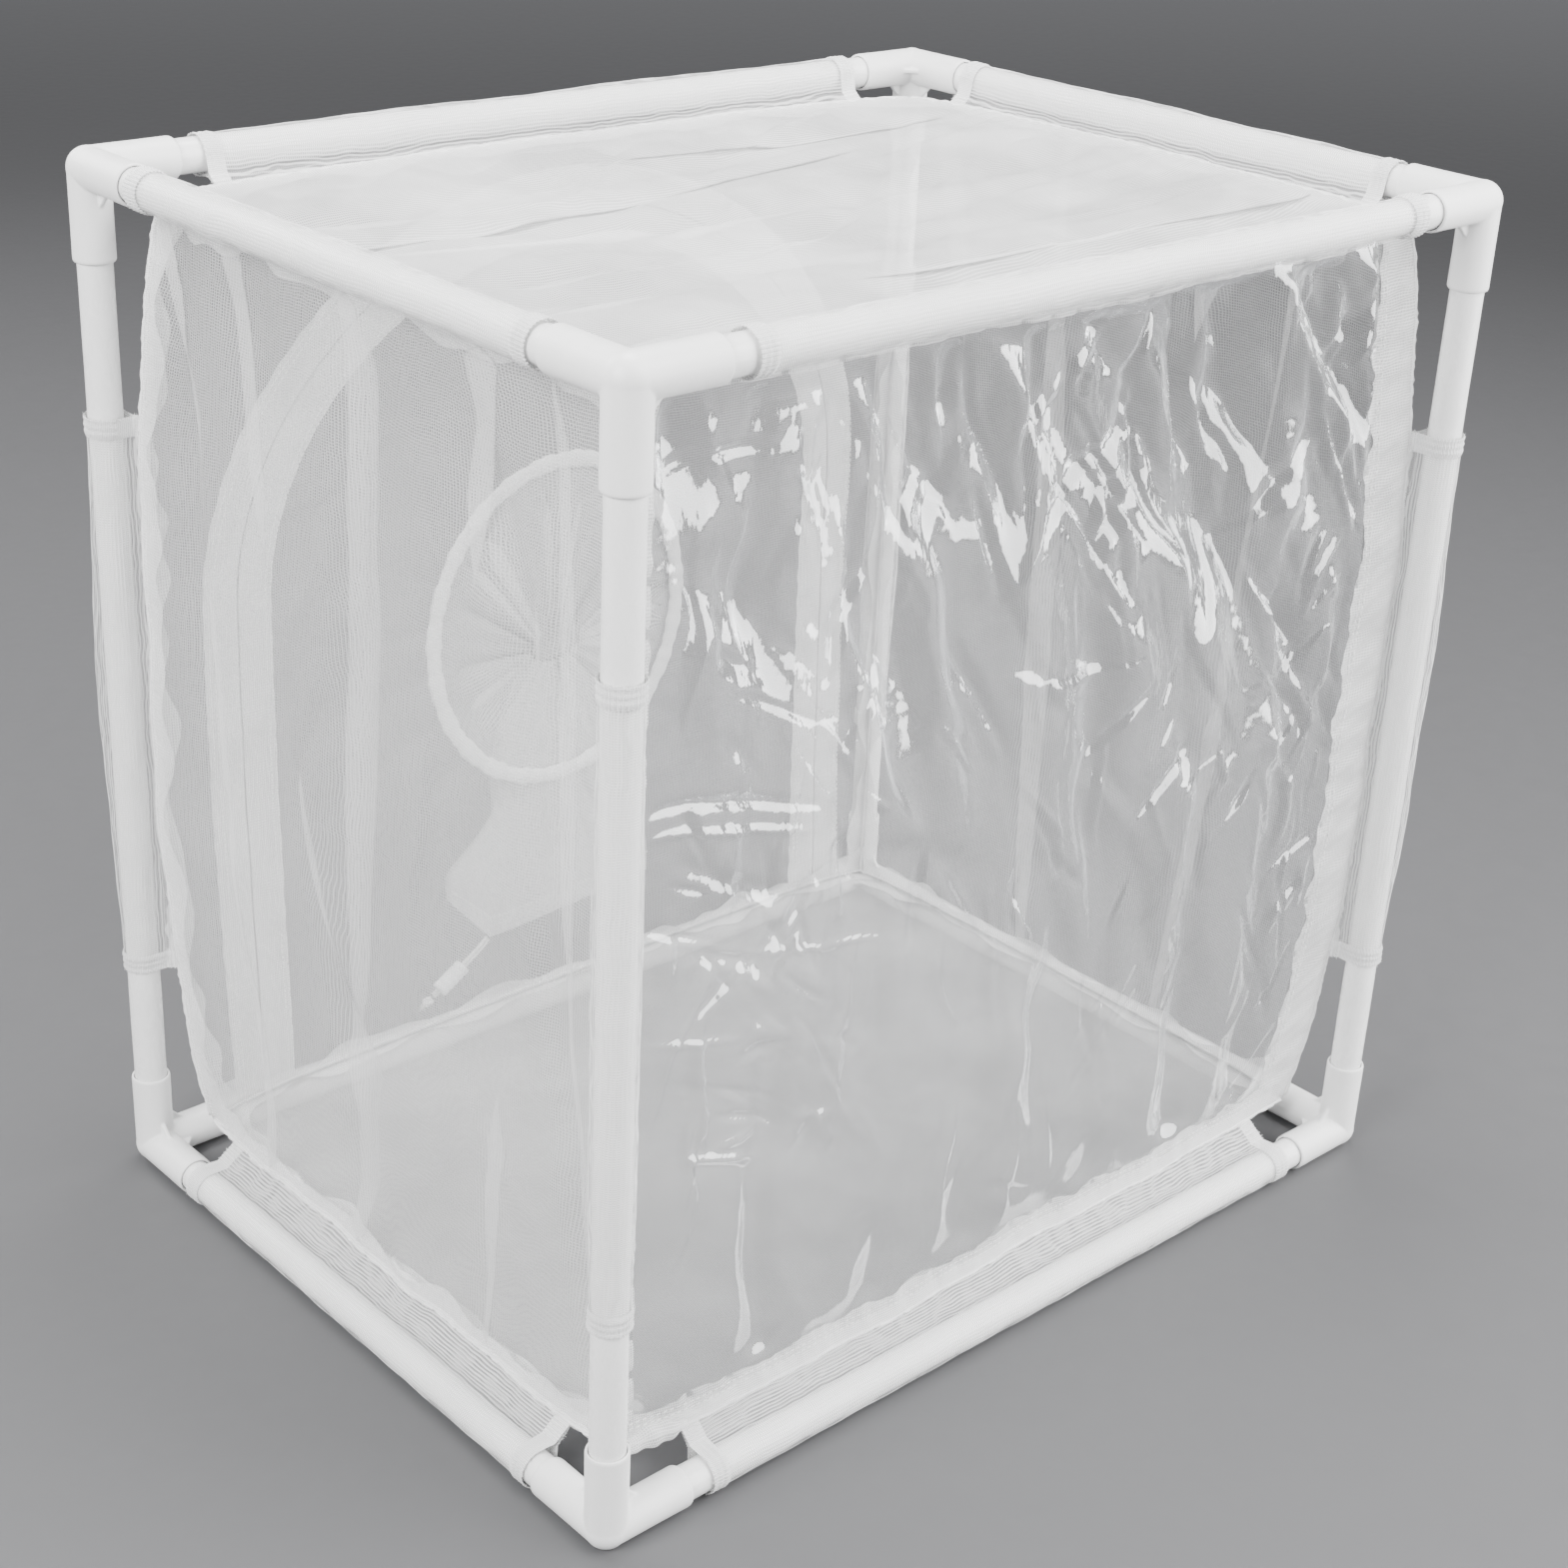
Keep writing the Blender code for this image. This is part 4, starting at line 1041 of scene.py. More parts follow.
class CAGE_OT_stage(Operator):
    """Make the camera, the pale floor and the soft lights"""

    bl_idname = "cage.stage"
    bl_label = "Camera, Floor and Lights"

    def execute(self, context):
        scene = context.scene
        camera = bpy.data.cameras.new("Camera")
        camera.lens = 60.5
        camera.sensor_width = 36.0
        camera.sensor_fit = "HORIZONTAL"
        camera.clip_start = 0.01
        holder = bpy.data.objects.new("Camera", camera)
        scene.collection.objects.link(holder)
        look = Vector((0.6168, 0.6604, -0.4283)).to_track_quat("-Z", "Y").to_matrix().to_4x4()
        roll = Matrix.Rotation(math.radians(2.78), 4, "Z")
        holder.matrix_world = Matrix.Translation((-0.7992, -0.8621, 0.7707)) @ look @ roll
        scene.camera = holder

        made, tree, shader, place, _ = new_surface("Pale floor")
        colour = tuple(scene.cage_colours.floor)
        cloud = noise(tree, place, 3.0, 3.0)
        distance = tree.nodes.new("ShaderNodeVectorMath")
        distance.operation = "LENGTH"
        tree.links.new(place, distance.inputs[0])
        # Painted light: from 2.2 m out to 6 m the floor's colour rises to eight times its colour near the
        # cage. This stands in for the lamps' light, which falls off with distance, so the far floor looks
        # evenly lit. A faint random cloud of tone is added.
        outer = ramp(tree, distance.outputs["Value"], 2.2, 6.0, 0.0, 1.0)
        spread = calc(tree, "ADD", outer, calc(tree, "MULTIPLY", cloud, 0.008))
        tint = tinted(tree, spread, shade(colour, 0.97), shade(colour, 8.0))
        tree.links.new(tint, shader.inputs["Base Color"])
        grain = noise(tree, place, 60.0, 3.0)
        tree.links.new(ramp(tree, grain, 0.3, 0.7, 0.55, 0.60), shader.inputs["Roughness"])
        shape = bmesh.new()
        bmesh.ops.create_circle(shape, cap_ends=True, segments=96, radius=9.0)
        mesh = bpy.data.meshes.new("floor")
        shape.to_mesh(mesh)
        shape.free()
        mesh.materials.append(made)
        ground = bpy.data.objects.new("stage_floor", mesh)
        scene.collection.objects.link(ground)

        world = bpy.data.worlds.new("Studio")
        world.use_nodes = True
        sky = world.node_tree.nodes["Background"]
        sky.inputs["Color"].default_value = (0.62, 0.63, 0.65, 1.0)
        sky.inputs["Strength"].default_value = 0.30
        scene.world = world
        lights = (
            ("window", (0.98, -1.22, 0.92), (2.0, 1.8), 124.0),
            ("left", (-1.8, -0.3, 1.3), (1.2, 1.0), 98.0),
            ("back", (-0.6, 1.9, 1.4), (1.2, 1.0), 37.0),
            ("top", (0.2, 0.3, 2.3), (1.0, 1.0), 78.0),
        )
        for name, spot, size, power in lights:
            lamp = bpy.data.lights.new(name, "AREA")
            lamp.shape = "RECTANGLE"
            lamp.size, lamp.size_y = size
            lamp.energy = power
            stand = bpy.data.objects.new(f"light_{name}", lamp)
            scene.collection.objects.link(stand)
            aim = (Vector((0, 0, 0.25)) - Vector(spot)).to_track_quat("-Z", "Y").to_matrix().to_4x4()
            stand.matrix_world = Matrix.Translation(spot) @ aim
        return {"FINISHED"}


class CAGE_OT_drawcord(Operator):
    """Make the two strands of the drawcord, its stopper and its knot"""

    bl_idname = "cage.drawcord"
    bl_label = "Drawcord"

    def execute(self, context):
        route = [(x, REAR_Y + lift, z) for x, lift, z in CORD_ROUTE]
        line = smooth_path(route, 0.0016)
        straight = np.asarray(route[-1]) - np.asarray(route[-3])
        straight /= np.linalg.norm(straight)
        aside = np.cross(straight, (0.0, 1.0, 0.0))
        turn = Vector(straight).to_track_quat("Z", "Y").to_matrix().to_4x4()

        pitch = 0.019 / 5
        profile = [(0.0025, -0.0095), (0.0025, 0.0095)]
        for rib in range(5):
            for share, height in ((0.0, 0.0), (0.18, 0.75), (0.35, 1.0), (0.65, 1.0), (0.82, 0.75)):
                profile.append((0.0041 + 0.0005 * height, 0.0095 - (rib + share) * pitch))
        profile += [(0.0041, -0.0095), (0.0025, -0.0095)]
        spot = Vector(route[-3]) + Vector(straight) * 0.015
        stopper = piece(
            "stopper_barrel",
            turned_mesh("stopper", profile, 40),
            "Stopper plastic",
            "stopper",
            ["cord_stopper"],
            Matrix.Translation(spot) @ turn,
        )

        turns = np.linspace(0, 2 * math.pi, 90, endpoint=False)
        loops = np.stack(
            [
                (2 + np.cos(3 * turns)) * np.cos(2 * turns) * 0.00062,
                (2 + np.cos(3 * turns)) * np.sin(2 * turns) * 0.00062,
                np.sin(3 * turns) * 0.0019,
            ],
            axis=1,
        )
        meshes = [swept_mesh("knot", loops, 0.00095, 10, closed=True)]
        rng = np.random.default_rng(5)
        roots = np.tile([0.0, 0.0, 0.0030], (26, 1)) + rng.normal(0, 0.0005, (26, 3))
        meshes.append(fray_mesh("knot_ends", roots, np.tile([0.0, 0.0, 1.0], (26, 1)), rng, 0.003))
        spot = Vector(route[-1]) + Vector(straight) * 0.0045
        knot = piece(
            "cord_end_knot",
            joined_mesh("cord_end_knot", meshes),
            "Stitching",
            "sleeve",
            ["cord_knot"],
            Matrix.Translation(spot) @ turn,
        )

        for name, sign, carried in (("upper", 1, [stopper, knot]), ("lower", -1, [])):
            path = line + aside * sign * CORD_SPREAD
            run = arc_lengths(path)
            turns = np.linspace(0, 2 * math.pi, 12, endpoint=False)
            plies = 0.00090 + 0.00011 * np.cos(2 * (turns[None, :] - run[:, None] * 1500))
            mesh = swept_mesh("strand", path, plies, 12)
            strand = piece(
                f"cord_{name}_strand", mesh, "Stitching", "sleeve", [f"drawcord_{name}_strand"]
            )
        return {"FINISHED"}


class CAGE_OT_corner_fittings(Operator):
    """Make the eight three-way corner fittings"""

    bl_idname = "cage.corner_fittings"
    bl_label = "Corner Fittings"

    def execute(self, context):
        sizes = context.scene.pipe_sizes
        meshes = {"bottom": corner_fitting_mesh(sizes, True), "top": corner_fitting_mesh(sizes, False)}
        places = {"bottom": AXIS_LOW, "top": AXIS_HIGH}
        quarter = {(-1, -1): 0, (1, -1): 1, (1, 1): 2, (-1, 1): 3}
        for level, mesh in meshes.items():
            for name, x, y in CORNERS:
                turn = Matrix.Rotation(quarter[x, y] * math.pi / 2, 4, "Z")
                if level == "top":
                    flip = Matrix.Rotation(math.pi / 2, 4, "Z") @ Matrix.Rotation(math.pi, 4, "X")
                    turn = turn @ flip
                spot = Matrix.Translation((x * HALF_X, y * HALF_Y, places[level]))
                piece(
                    f"corner_{name}_{level}",
                    mesh,
                    "Moulded plastic",
                    "cage",
                    [f"fitting_{name}_{level}"],
                    spot @ turn,
                )
        return {"FINISHED"}


def frame_lines():
    """Name, direction, first sign, second sign and length of the twelve pipes."""
    lines = []
    for level, z in (("bottom", -1), ("top", 1)):
        lines.append((f"front_{level}", "X", -1, z, 2 * HALF_X))
        lines.append((f"rear_{level}", "X", 1, z, 2 * HALF_X))
        lines.append((f"left_{level}", "Y", -1, z, 2 * HALF_Y))
        lines.append((f"right_{level}", "Y", 1, z, 2 * HALF_Y))
    for name, x, y in CORNERS:
        lines.append((f"post_{name}", "Z", x, y, AXIS_HIGH - AXIS_LOW))
    return lines


def line_middle(direction, first, second):
    """The middle of one pipe."""
    height = AXIS_LOW if second < 0 else AXIS_HIGH
    if direction == "Z":
        return np.array([first * HALF_X, second * HALF_Y, (AXIS_LOW + AXIS_HIGH) / 2])
    if direction == "X":
        return np.array([0.0, first * HALF_Y, height])
    return np.array([first * HALF_X, 0.0, height])


class CAGE_OT_pipes(Operator):
    """Make the twelve pipes"""

    bl_idname = "cage.pipes"
    bl_label = "Pipes"

    def execute(self, context):
        sizes = context.scene.pipe_sizes
        turns = {
            "X": Matrix.Rotation(math.pi / 2, 4, "Y"),
            "Y": Matrix.Rotation(-math.pi / 2, 4, "X"),
            "Z": Matrix.Identity(4),
        }
        meshes = {}
        for name, direction, first, second, length in frame_lines():
            size = round(length, 4)
            if size not in meshes:
                half = length / 2 - sizes.socket_stop - 0.0003
                bore = sizes.radius - sizes.wall
                edge = 0.0003
                profile = [(bore, -half), (bore, half), (sizes.radius - edge, half)]
                for height in np.linspace(half - edge, -half + edge, 60):
                    swell = 0.00004 * math.sin(height * 61) + 0.00003 * math.sin(height * 143 + 1)
                    profile.append((sizes.radius + swell - 0.00004, height))
                profile += [(sizes.radius - edge, -half), (bore, -half)]
                meshes[size] = turned_mesh(f"pipe_{round(size * 1000)}", profile, 56)
            node = name if direction == "Z" else f"pipe_{name}"
            spot = Matrix.Translation(line_middle(direction, first, second))
            place = spot @ turns[direction]
            piece(f"drawn_{node}", meshes[size], "Drawn pipe", "cage", [node], place)
        return {"FINISHED"}


STRIP_POINTS = 26
RING_POINTS = 133


def sleeve_row(center, out, side, reach, radius, rib, pitch, loose):
    """One cross-section of a ribbed sleeve: round the pipe, and two layers out to the tent's seam."""
    first = math.radians(43)
    turns = np.linspace(first, 2 * math.pi - first, RING_POINTS)
    swell = radius + rib * np.cos(2 * math.pi * radius * (turns - math.pi) / pitch)
    swell = swell + loose * (0.5 - 0.5 * np.cos(turns)) ** 1.5
    ring = np.stack([swell * np.cos(turns), swell * np.sin(turns)], axis=1)
    throat = min(0.0123, reach - 0.0006)
    runs = np.linspace(reach, throat, STRIP_POINTS)
    gap = np.interp(runs, [throat, reach], [0.0011, 0.0004])
    gap = gap + rib * np.cos(2 * math.pi * (runs - throat) / pitch) * fade(runs - throat, 0.002)
    strip = np.stack([runs, gap], axis=1)
    outline = np.concatenate([strip, ring, strip[::-1] * [1, -1]])
    return center + outline[:, :1] * out + outline[:, 1:] * side


def sleeve_rows(direction, first, second, length, stops, cloth, phases):
    """All the cross-sections of one sleeve, from end to end."""
    run = np.array([float(direction == name) for name in "XYZ"])
    middle = line_middle(direction, first, second)
    if direction == "Z":
        middle = middle - [0, 0, 0.0035]
    tent_run = 2 * ((HALF_X if direction == "X" else HALF_Y) - CORNER_INSET)
    hem = cloth.sleeve_hem
    rows = []
    for stop in stops:
        center = middle + run * (stop - length / 2)
        if direction == "Z":
            t = (center[2] - TENT_LOW) / (TENT_HIGH - TENT_LOW)
        else:
            t = center.dot(run) / tent_run + 0.5
        out = seam(direction, first, second, t) - center
        out = out - run * out.dot(run)
        reach = np.linalg.norm(out)
        out = out / reach
        edge = min(stop, length - stop)
        radius = cloth.sleeve_radius + 0.00012 * math.sin(stop * 210 + phases[0])
        radius += 0.00010 * math.sin(stop * 77 + phases[1])
        if edge < hem:
            radius += 0.00045 + 0.00022 * math.sin(edge / hem * 6 * math.pi)
        rib = 0.00016 + 0.00004 * math.sin(stop * 90 + phases[2])
        part = stop / length
        loose = 0.0
        if direction == "Z" or second > 0:
            loose = 0.0034 if direction == "Z" else 0.0006
            loose *= float(fade(edge - hem, 0.10)) * (0.85 + 0.15 * math.sin(part * 5 + phases[0]))
            loose = max(0.0, loose + 0.0006 * math.sin(math.pi * part) * math.sin(part * 17 + phases[1]))
        rows.append(sleeve_row(center, out, np.cross(run, out), reach, radius, rib, cloth.rib_pitch, loose))
    return np.array(rows)


class CAGE_OT_pipe_sleeves(Operator):
    """Make the twelve gauze sleeves that carry the tent on the pipes"""

    bl_idname = "cage.pipe_sleeves"
    bl_label = "Pipe Sleeves"

    def execute(self, context):
        cloth = context.scene.cloth_sizes
        lengths = {"X": 0.395, "Y": 0.280, "Z": 0.285}
        hem = cloth.sleeve_hem
        lowest = 0.0003
        for number, (name, direction, first, second, _) in enumerate(frame_lines()):
            rng = np.random.default_rng(40 + number)
            length = lengths[direction]
            ends = np.linspace(0, hem, 13)
            middles = np.linspace(hem, length - hem, int(length / 0.005))[1:-1]
            stops = np.concatenate([ends, middles, length - ends[::-1]])
            rows = sleeve_rows(direction, first, second, length, stops, cloth, rng.uniform(0, 6.28, 3))
            rows[..., 2] = np.maximum(rows[..., 2], lowest)
            girth = arc_lengths(rows[len(rows) // 2])
            weave = np.stack(np.broadcast_arrays(girth[None, :], stops[:, None]), axis=-1)
            mesh = surface_mesh(f"gauze_{name}", rows, weave)
            sleeve = piece(f"gauze_{name}", mesh, "Ribbed gauze", "cage", [f"sleeve_{name}"])

            def away(points, at):
                out = points - rows[at, STRIP_POINTS:-STRIP_POINTS].mean(axis=0)
                return out / np.linalg.norm(out, axis=1)[:, None]

            meshes = []
            for ends in (range(13), range(len(rows) - 13, len(rows))):
                lifted = np.array([rows[at] + away(rows[at], at) * 0.00025 for at in ends])
                meshes.append(surface_mesh("hem", lifted, weave[ends[0] : ends[-1] + 1]))
            hem_mesh = joined_mesh(f"hems_{name}", meshes)
            hems = piece(f"hems_{name}", hem_mesh, "Hemmed gauze", "cage", ())

            meshes = []
            for at, sign in ((0, -1), (len(rows) - 1, 1)):
                run = sign * np.array([float(direction == axis) for axis in "XYZ"])
                roots = rows[at, rng.integers(0, rows.shape[1], 70)] - run * 0.0004
                meshes.append(fray_mesh("fray", roots, np.tile(run, (70, 1)), rng, 0.0016, 0.00011))
            for at in (3, 9, len(rows) - 10, len(rows) - 4):
                ring = evenly(rows[at, 6:-6], 0.0026)
                meshes.append(stitch_mesh(ring, away(ring, at), 0.0026, 0.6, 0.0004))
            thread_mesh = joined_mesh(f"hem_threads_{name}", meshes)
            piece(f"hem_threads_{name}", thread_mesh, "Stitching", "cage", ())
        return {"FINISHED"}


class CAGE_OT_side_nets(Operator):
    """Make the left, right and top nets and the floor cloth"""

    bl_idname = "cage.side_nets"
    bl_label = "Side Nets"

    def execute(self, context):
        middle = (TENT_LOW + TENT_HIGH) / 2
        rng = np.random.default_rng(11)
        soft = {}
        ranges = ((0.05, 0.26), (0.005, 0.014), (0.0008, 0.0030))
        for name in ("left", "right"):
            soft[name] = fold_lines(rng, 26, (-0.16, 0.16, 0.05, 0.48), math.pi / 2, 0.22, *ranges)
        soft["top"] = fold_lines(
            rng, 52, (-0.21, 0.21, -0.15, 0.15), 0.15, 0.30, (0.05, 0.24), (0.005, 0.016), (0.0010, 0.0038)
        )
        soft["floor"] = fold_lines(
            rng, 22, (-0.21, 0.21, -0.15, 0.15), 0.4, 0.9, (0.05, 0.20), (0.008, 0.02), (0.0002, 0.0007)
        )

        def left_depth(points):
            y, z = points[..., 1], points[..., 2]
            return folded(y, z - middle, LEFT_FOLDS) + np.abs(creased(y, z, soft["left"], False))

        def right_depth(points):
            y, z = points[..., 1], points[..., 2]
            return folded(-y, z - middle, RIGHT_FOLDS) + np.abs(creased(y, z, soft["right"], False))

        def top_depth(points):
            x, y = points[..., 0], points[..., 1]
            far_x, far_y = x / TOP_SAG_HALF[0], y / TOP_SAG_HALF[1]
            sag = TOP_SAG * np.clip(1 - far_x**2 - far_y**2, 0, 1)
            return sag + folded(y, x, TOP_FOLDS) + np.abs(creased(x, y, soft["top"], False))

        def floor_depth(points):
            x, y = points[..., 0], points[..., 1]
            return np.abs(creased(x, y, soft["floor"], False))

        panels = (
            ("left", "net_left", (240, 180), left_depth, LEFT_LAPS, "Fine net", (0.37, 0.475), "hung"),
            ("right", "net_right", (240, 180), right_depth, RIGHT_LAPS, "Fine net", (0.37, 0.475), "hung"),
            ("top", "net_top", (200, 230), top_depth, TOP_LAPS, "Top net", (0.48, 0.37), "stretched"),
            ("floor", "floor_sheet", (110, 90), floor_depth, (), "Floor cloth", (0.465, 0.342), "stretched"),
        )
        for panel, node, steps, depth_at, laps, surface, flat, held in panels:
            mesh = hung_panel(f"{panel}_net", panel, steps, depth_at, laps)
            net = piece(f"{panel}_net", mesh, surface, "cage", [node])
            strips = hem_mesh(f"{panel}_hem", panel, HEM_WIDTH, float(len(panel)))
            hem = piece(f"{panel}_hem", strips, "Folded net", "cage", ())
        return {"FINISHED"}


class CAGE_OT_tent_seams(Operator):
    """Make the bright sewn edges of the tent, with their loose threads"""

    bl_idname = "cage.tent_seams"
    bl_label = "Tent Seams"

    def execute(self, context):
        rng = np.random.default_rng(3)
        for name, direction, first, second, span in frame_lines():
            t = np.linspace(0.004, 0.996, 220)
            line = seam(direction, first, second, t)
            middle = line_middle(direction, first, second)
            inward = line - middle
            index = "XYZ".index(direction)
            inward[:, index] = 0
            inward /= np.linalg.norm(inward, axis=1)[:, None]
            wide = 0.0028 if direction == "Z" or second > 0 else 0.0036
            wide = wide + 0.0003 * np.sin(t * 61 + first) + 0.0002 * np.sin(t * 143 + second)
            line = line + inward * (wide * 0.7)[:, None]
            along = np.zeros(3)
            along[index] = 1.0
            side = np.cross(inward, along)
            turns = np.linspace(0, 2 * math.pi, 10, endpoint=False)
            lump = 1 + 0.08 * np.sin(turns[None, :] * 2 + t[:, None] * 190)
            lump = lump + 0.06 * rng.normal(0, 1, (len(t), 10))
            over = (wide[:, None] * lump * np.cos(turns))[..., None] * inward[:, None]
            across = (0.0007 * lump * np.sin(turns))[..., None] * side[:, None]
            points = line[:, None] + over + across
            girth = 0.010 * np.linspace(0, 1, 11)
            weave = np.stack(np.broadcast_arrays(girth[None, :], (t * span)[:, None]), axis=-1)
            meshes = [surface_mesh("seam", points, weave, wrap=True)]
            close_ends(meshes[0])
            count = 900 if second < 0 and direction != "Z" else 240
            spots = rng.integers(2, len(t) - 2, count)
            roots = line[spots] + inward[spots] * (wide[spots] * 0.8)[:, None]
            meshes.append(fray_mesh("fray", roots, inward[spots], rng, 0.0026, 0.00012))
            piece(f"seam_{name}", joined_mesh(f"seam_{name}", meshes), "Seam cloth", "cage", ())
        return {"FINISHED"}


class CAGE_OT_window(Operator):
    """Make the creased clear film and the net borders that it is sewn to"""

    bl_idname = "cage.window"
    bl_label = "Clear Window"

    def execute(self, context):
        cloth = context.scene.cloth_sizes
        wide = 2 * (HALF_X - 0.0130)
        tall = TENT_HIGH - TENT_LOW
        left = cloth.border_left / wide
        right = 1 - cloth.border_right / wide
        low = cloth.border_low / tall
        high = 1 - cloth.border_high / tall
        rng = np.random.default_rng(21)
        upright = math.pi / 2
        folds = []
        groups = (
            (44, (-0.22, 0.20, 0.40, 0.49), 0.40, 0.20, (0.04, 0.12), (0.004, 0.012), (0.0014, 0.0040), 0.8),
            (26, (-0.22, 0.20, 0.38, 0.48), -0.45, 0.25, (0.03, 0.09), (0.004, 0.012), (0.0010, 0.0034)),
            (34, (0.02, 0.21, 0.26, 0.48), 0.35, 0.30, (0.04, 0.12), (0.004, 0.011), (0.0010, 0.0034)),
            (70, (-0.22, -0.10, 0.15, 0.42), 0.55, 0.60, (0.02, 0.08), (0.002, 0.008), (0.0008, 0.0028)),
            (34, (-0.10, 0.06, 0.20, 0.44), 0.30, 0.40, (0.03, 0.09), (0.003, 0.009), (0.0008, 0.0026)),
            (50, (0.05, 0.20, 0.10, 0.34), -0.50, 0.40, (0.02, 0.06), (0.002, 0.006), (0.0006, 0.0022)),
            (30, (-0.20, 0.10, 0.05, 0.20), 0.5, 0.35, (0.03, 0.10), (0.003, 0.010), (0.0003, 0.0014)),
            (46, (0.16, 0.21, 0.06, 0.48), 0.2, 0.35, (0.02, 0.06), (0.002, 0.006), (0.0008, 0.0026)),
        )
        for count, box, lean, *ranges in groups:
            folds += fold_lines(rng, count, box, upright + lean, *ranges)
        folds += [
            (-0.181, 0.324, -0.20, 0.110, 0.0045, 0.0015, 0.0036, 2.0),
            (-0.184, 0.314, -0.18, 0.100, 0.003, 0.0012, -0.0026, 2.0),
            (0.018, 0.422, 2.35, 0.110, 0.026, 0.008, 0.0042, 1.0),
            (0.118, 0.430, 2.10, 0.140, 0.028, 0.009, 0.0046, 1.0),
            (-0.094, 0.455, 2.30, 0.080, 0.022, 0.007, 0.0036, 1.0),
            (0.170, 0.455, 2.20, 0.090, 0.022, 0.007, 0.0038, 1.0),
            (0.065, 0.468, 2.40, 0.080, 0.020, 0.006, 0.0034, 1.0),
            (-0.020, 0.350, 2.20, 0.100, 0.020, 0.006, 0.0030, 1.0),
            (0.108, 0.300, 2.10, 0.110, 0.014, 0.004, 0.0026, 1.0),
            (-0.195, 0.462, 0.12, 0.060, 0.005, 0.0015, 0.0030, 3.0),
        ]
        ranges = ((0.20, 0.40), (0.012, 0.030), (0.0010, 0.0030))
        long_folds = fold_lines(rng, 16, (-0.20, 0.19, 0.15, 0.40), upright + 0.1, 0.12, *ranges)
        ranges = ((0.14, 0.30), (0.012, 0.024), (0.0035, 0.0075), 0.8)
        broad_folds = fold_lines(rng, 34, (-0.21, 0.20, 0.33, 0.49), upright + 0.42, 0.18, *ranges)
        ranges = ((0.08, 0.20), (0.012, 0.022), (0.0015, 0.0040))
        broad_folds += fold_lines(rng, 16, (-0.18, 0.20, 0.10, 0.33), upright + 0.30, 0.35, *ranges)
        u = np.linspace(left, right, 341)[None, :]
        v = np.linspace(low, high, 351)[:, None]
        points = stretched("front", u, v)
        x, z = points[..., 0], points[..., 2]
        stray_x = x + 0.0028 * np.sin(z * 47 + 2 * np.sin(x * 33)) + 0.0012 * np.sin(z * 121 + x * 60)
        stray_z = z + 0.0035 * np.sin(x * 39 + 1.5 * np.sin(z * 27))
        side = np.minimum(u - left, right - u) * wide + 0 * v
        end = np.minimum(v - low, high - v) * tall + 0 * u
        held = fade(side, 0.010) * fade(end, 0.012)
        clear = fade(np.hypot((x + 0.205) / 0.040, (z - 0.440) / 0.028), 1.25)
        depth = folded(stray_x, z - (TENT_LOW + TENT_HIGH) / 2, FILM_FOLDS)
        depth = depth + creased(stray_x, stray_z, folds, True) * (0.12 + 0.88 * clear)
        depth = depth + creased(stray_x, stray_z, long_folds, True)
        depth = depth + creased(stray_x, stray_z, broad_folds, False) * (0.15 + 0.85 * clear)
        points[..., 1] += depth * held
        weave = np.stack(np.broadcast_arrays(u * wide, v * tall), axis=-1)
        mesh = surface_mesh("clear_film", points, weave)
        film = piece("clear_film", mesh, "Clear film", "cage", ["window_film"])

        behind_film = 0.004
        strips = (
            ("bottom", (0.0, 1.0), (0.0, low + behind_film), (300, 8)),
            ("top", (0.0, 1.0), (high - behind_film, 1.0), (300, 8)),
            ("left", (0.0, left + behind_film), (low, high), (8, 300)),
            ("right", (right - behind_film, 1.0), (low, high), (14, 300)),
        )
        for name, across, up, steps in strips:
            u = np.linspace(*across, steps[0] + 1)[None, :]
            v = np.linspace(*up, steps[1] + 1)[:, None]
            u, v = np.broadcast_arrays(u, v)
            if name == "right":
                u = u - (1 - u) / (1 - right) * 0.004 * np.sin(v * 71 + 2 * np.sin(v * 23))
            if name == "bottom":
                v = v + v / low * 0.003 * np.sin(u * 67 + 2 * np.sin(u * 21))
            points = stretched("front", u, v)
            edge = np.minimum(np.minimum(u, 1 - u) * wide, np.minimum(v, 1 - v) * tall)
            along = v * tall if name in ("left", "right") else u * wide
            ripple = 0.0006 * np.sin(along * 2 * math.pi / 0.023 + 3.0 * np.sin(along * 31))
            finer = along * 2 * math.pi / 0.0091 + 2.5 * np.sin(along * 57) + edge * 300
            ripple = ripple + 0.0003 * np.sin(finer)
            points[..., 1] += (ripple - 0.0005) * fade(edge, 0.006)
            weave = np.stack([u * wide, v * tall], axis=-1)
            border = piece(
                f"border_{name}",
                surface_mesh(f"border_{name}", points, weave),
                "Folded net",
                "cage",
                [f"window_border_{name}"],
            )

        meshes = []
        for inset in (0.0015, 0.0045):
            for name in ("bottom", "top", "left", "right"):
                t = np.linspace(0.0, 1.0, 240)
                du, dv = inset / wide, inset / tall
                rows = {
                    "bottom": (left + (right - left) * t, low - dv + 0 * t),
                    "top": (left + (right - left) * t, high + dv + 0 * t),
                    "left": (left - du + 0 * t, low + (high - low) * t),
                    "right": (right + du + 0 * t, low + (high - low) * t),
                }
                path = stretched("front", *rows[name]) - [0, 0.0012, 0]
                meshes.append(stitch_mesh(path, (0.0, -1.0, 0.0), 0.0034))
        piece("front_film_seam", joined_mesh("front_film_seam", meshes), "Stitching", "cage", ())

        along = np.linspace(0, 1, 30)[:, None]
        turn = np.radians(np.linspace(125, -150, 22))[None, :]
        curl = 0.0052 * np.sin(math.pi * (0.10 + 0.84 * along)) ** 0.6
        curl = curl * (1 + 0.10 * np.sin(along * 19 + turn))
        x = -0.2265 + 0.031 * along + 0.0016 * np.sin(turn)
        y = -0.1695 - curl * np.cos(turn) - 0.0016 * along
        z = 0.0272 + 0.0012 * np.sin(along * 5) + curl * np.sin(turn)
        points = np.stack(np.broadcast_arrays(x, y, z), axis=-1)
        weave = np.stack(np.broadcast_arrays(along * 0.031, turn * 0.005), axis=-1)
        piece("curled_hem", surface_mesh("curled_hem", points, weave), "Folded net", "cage", ())
        return {"FINISHED"}


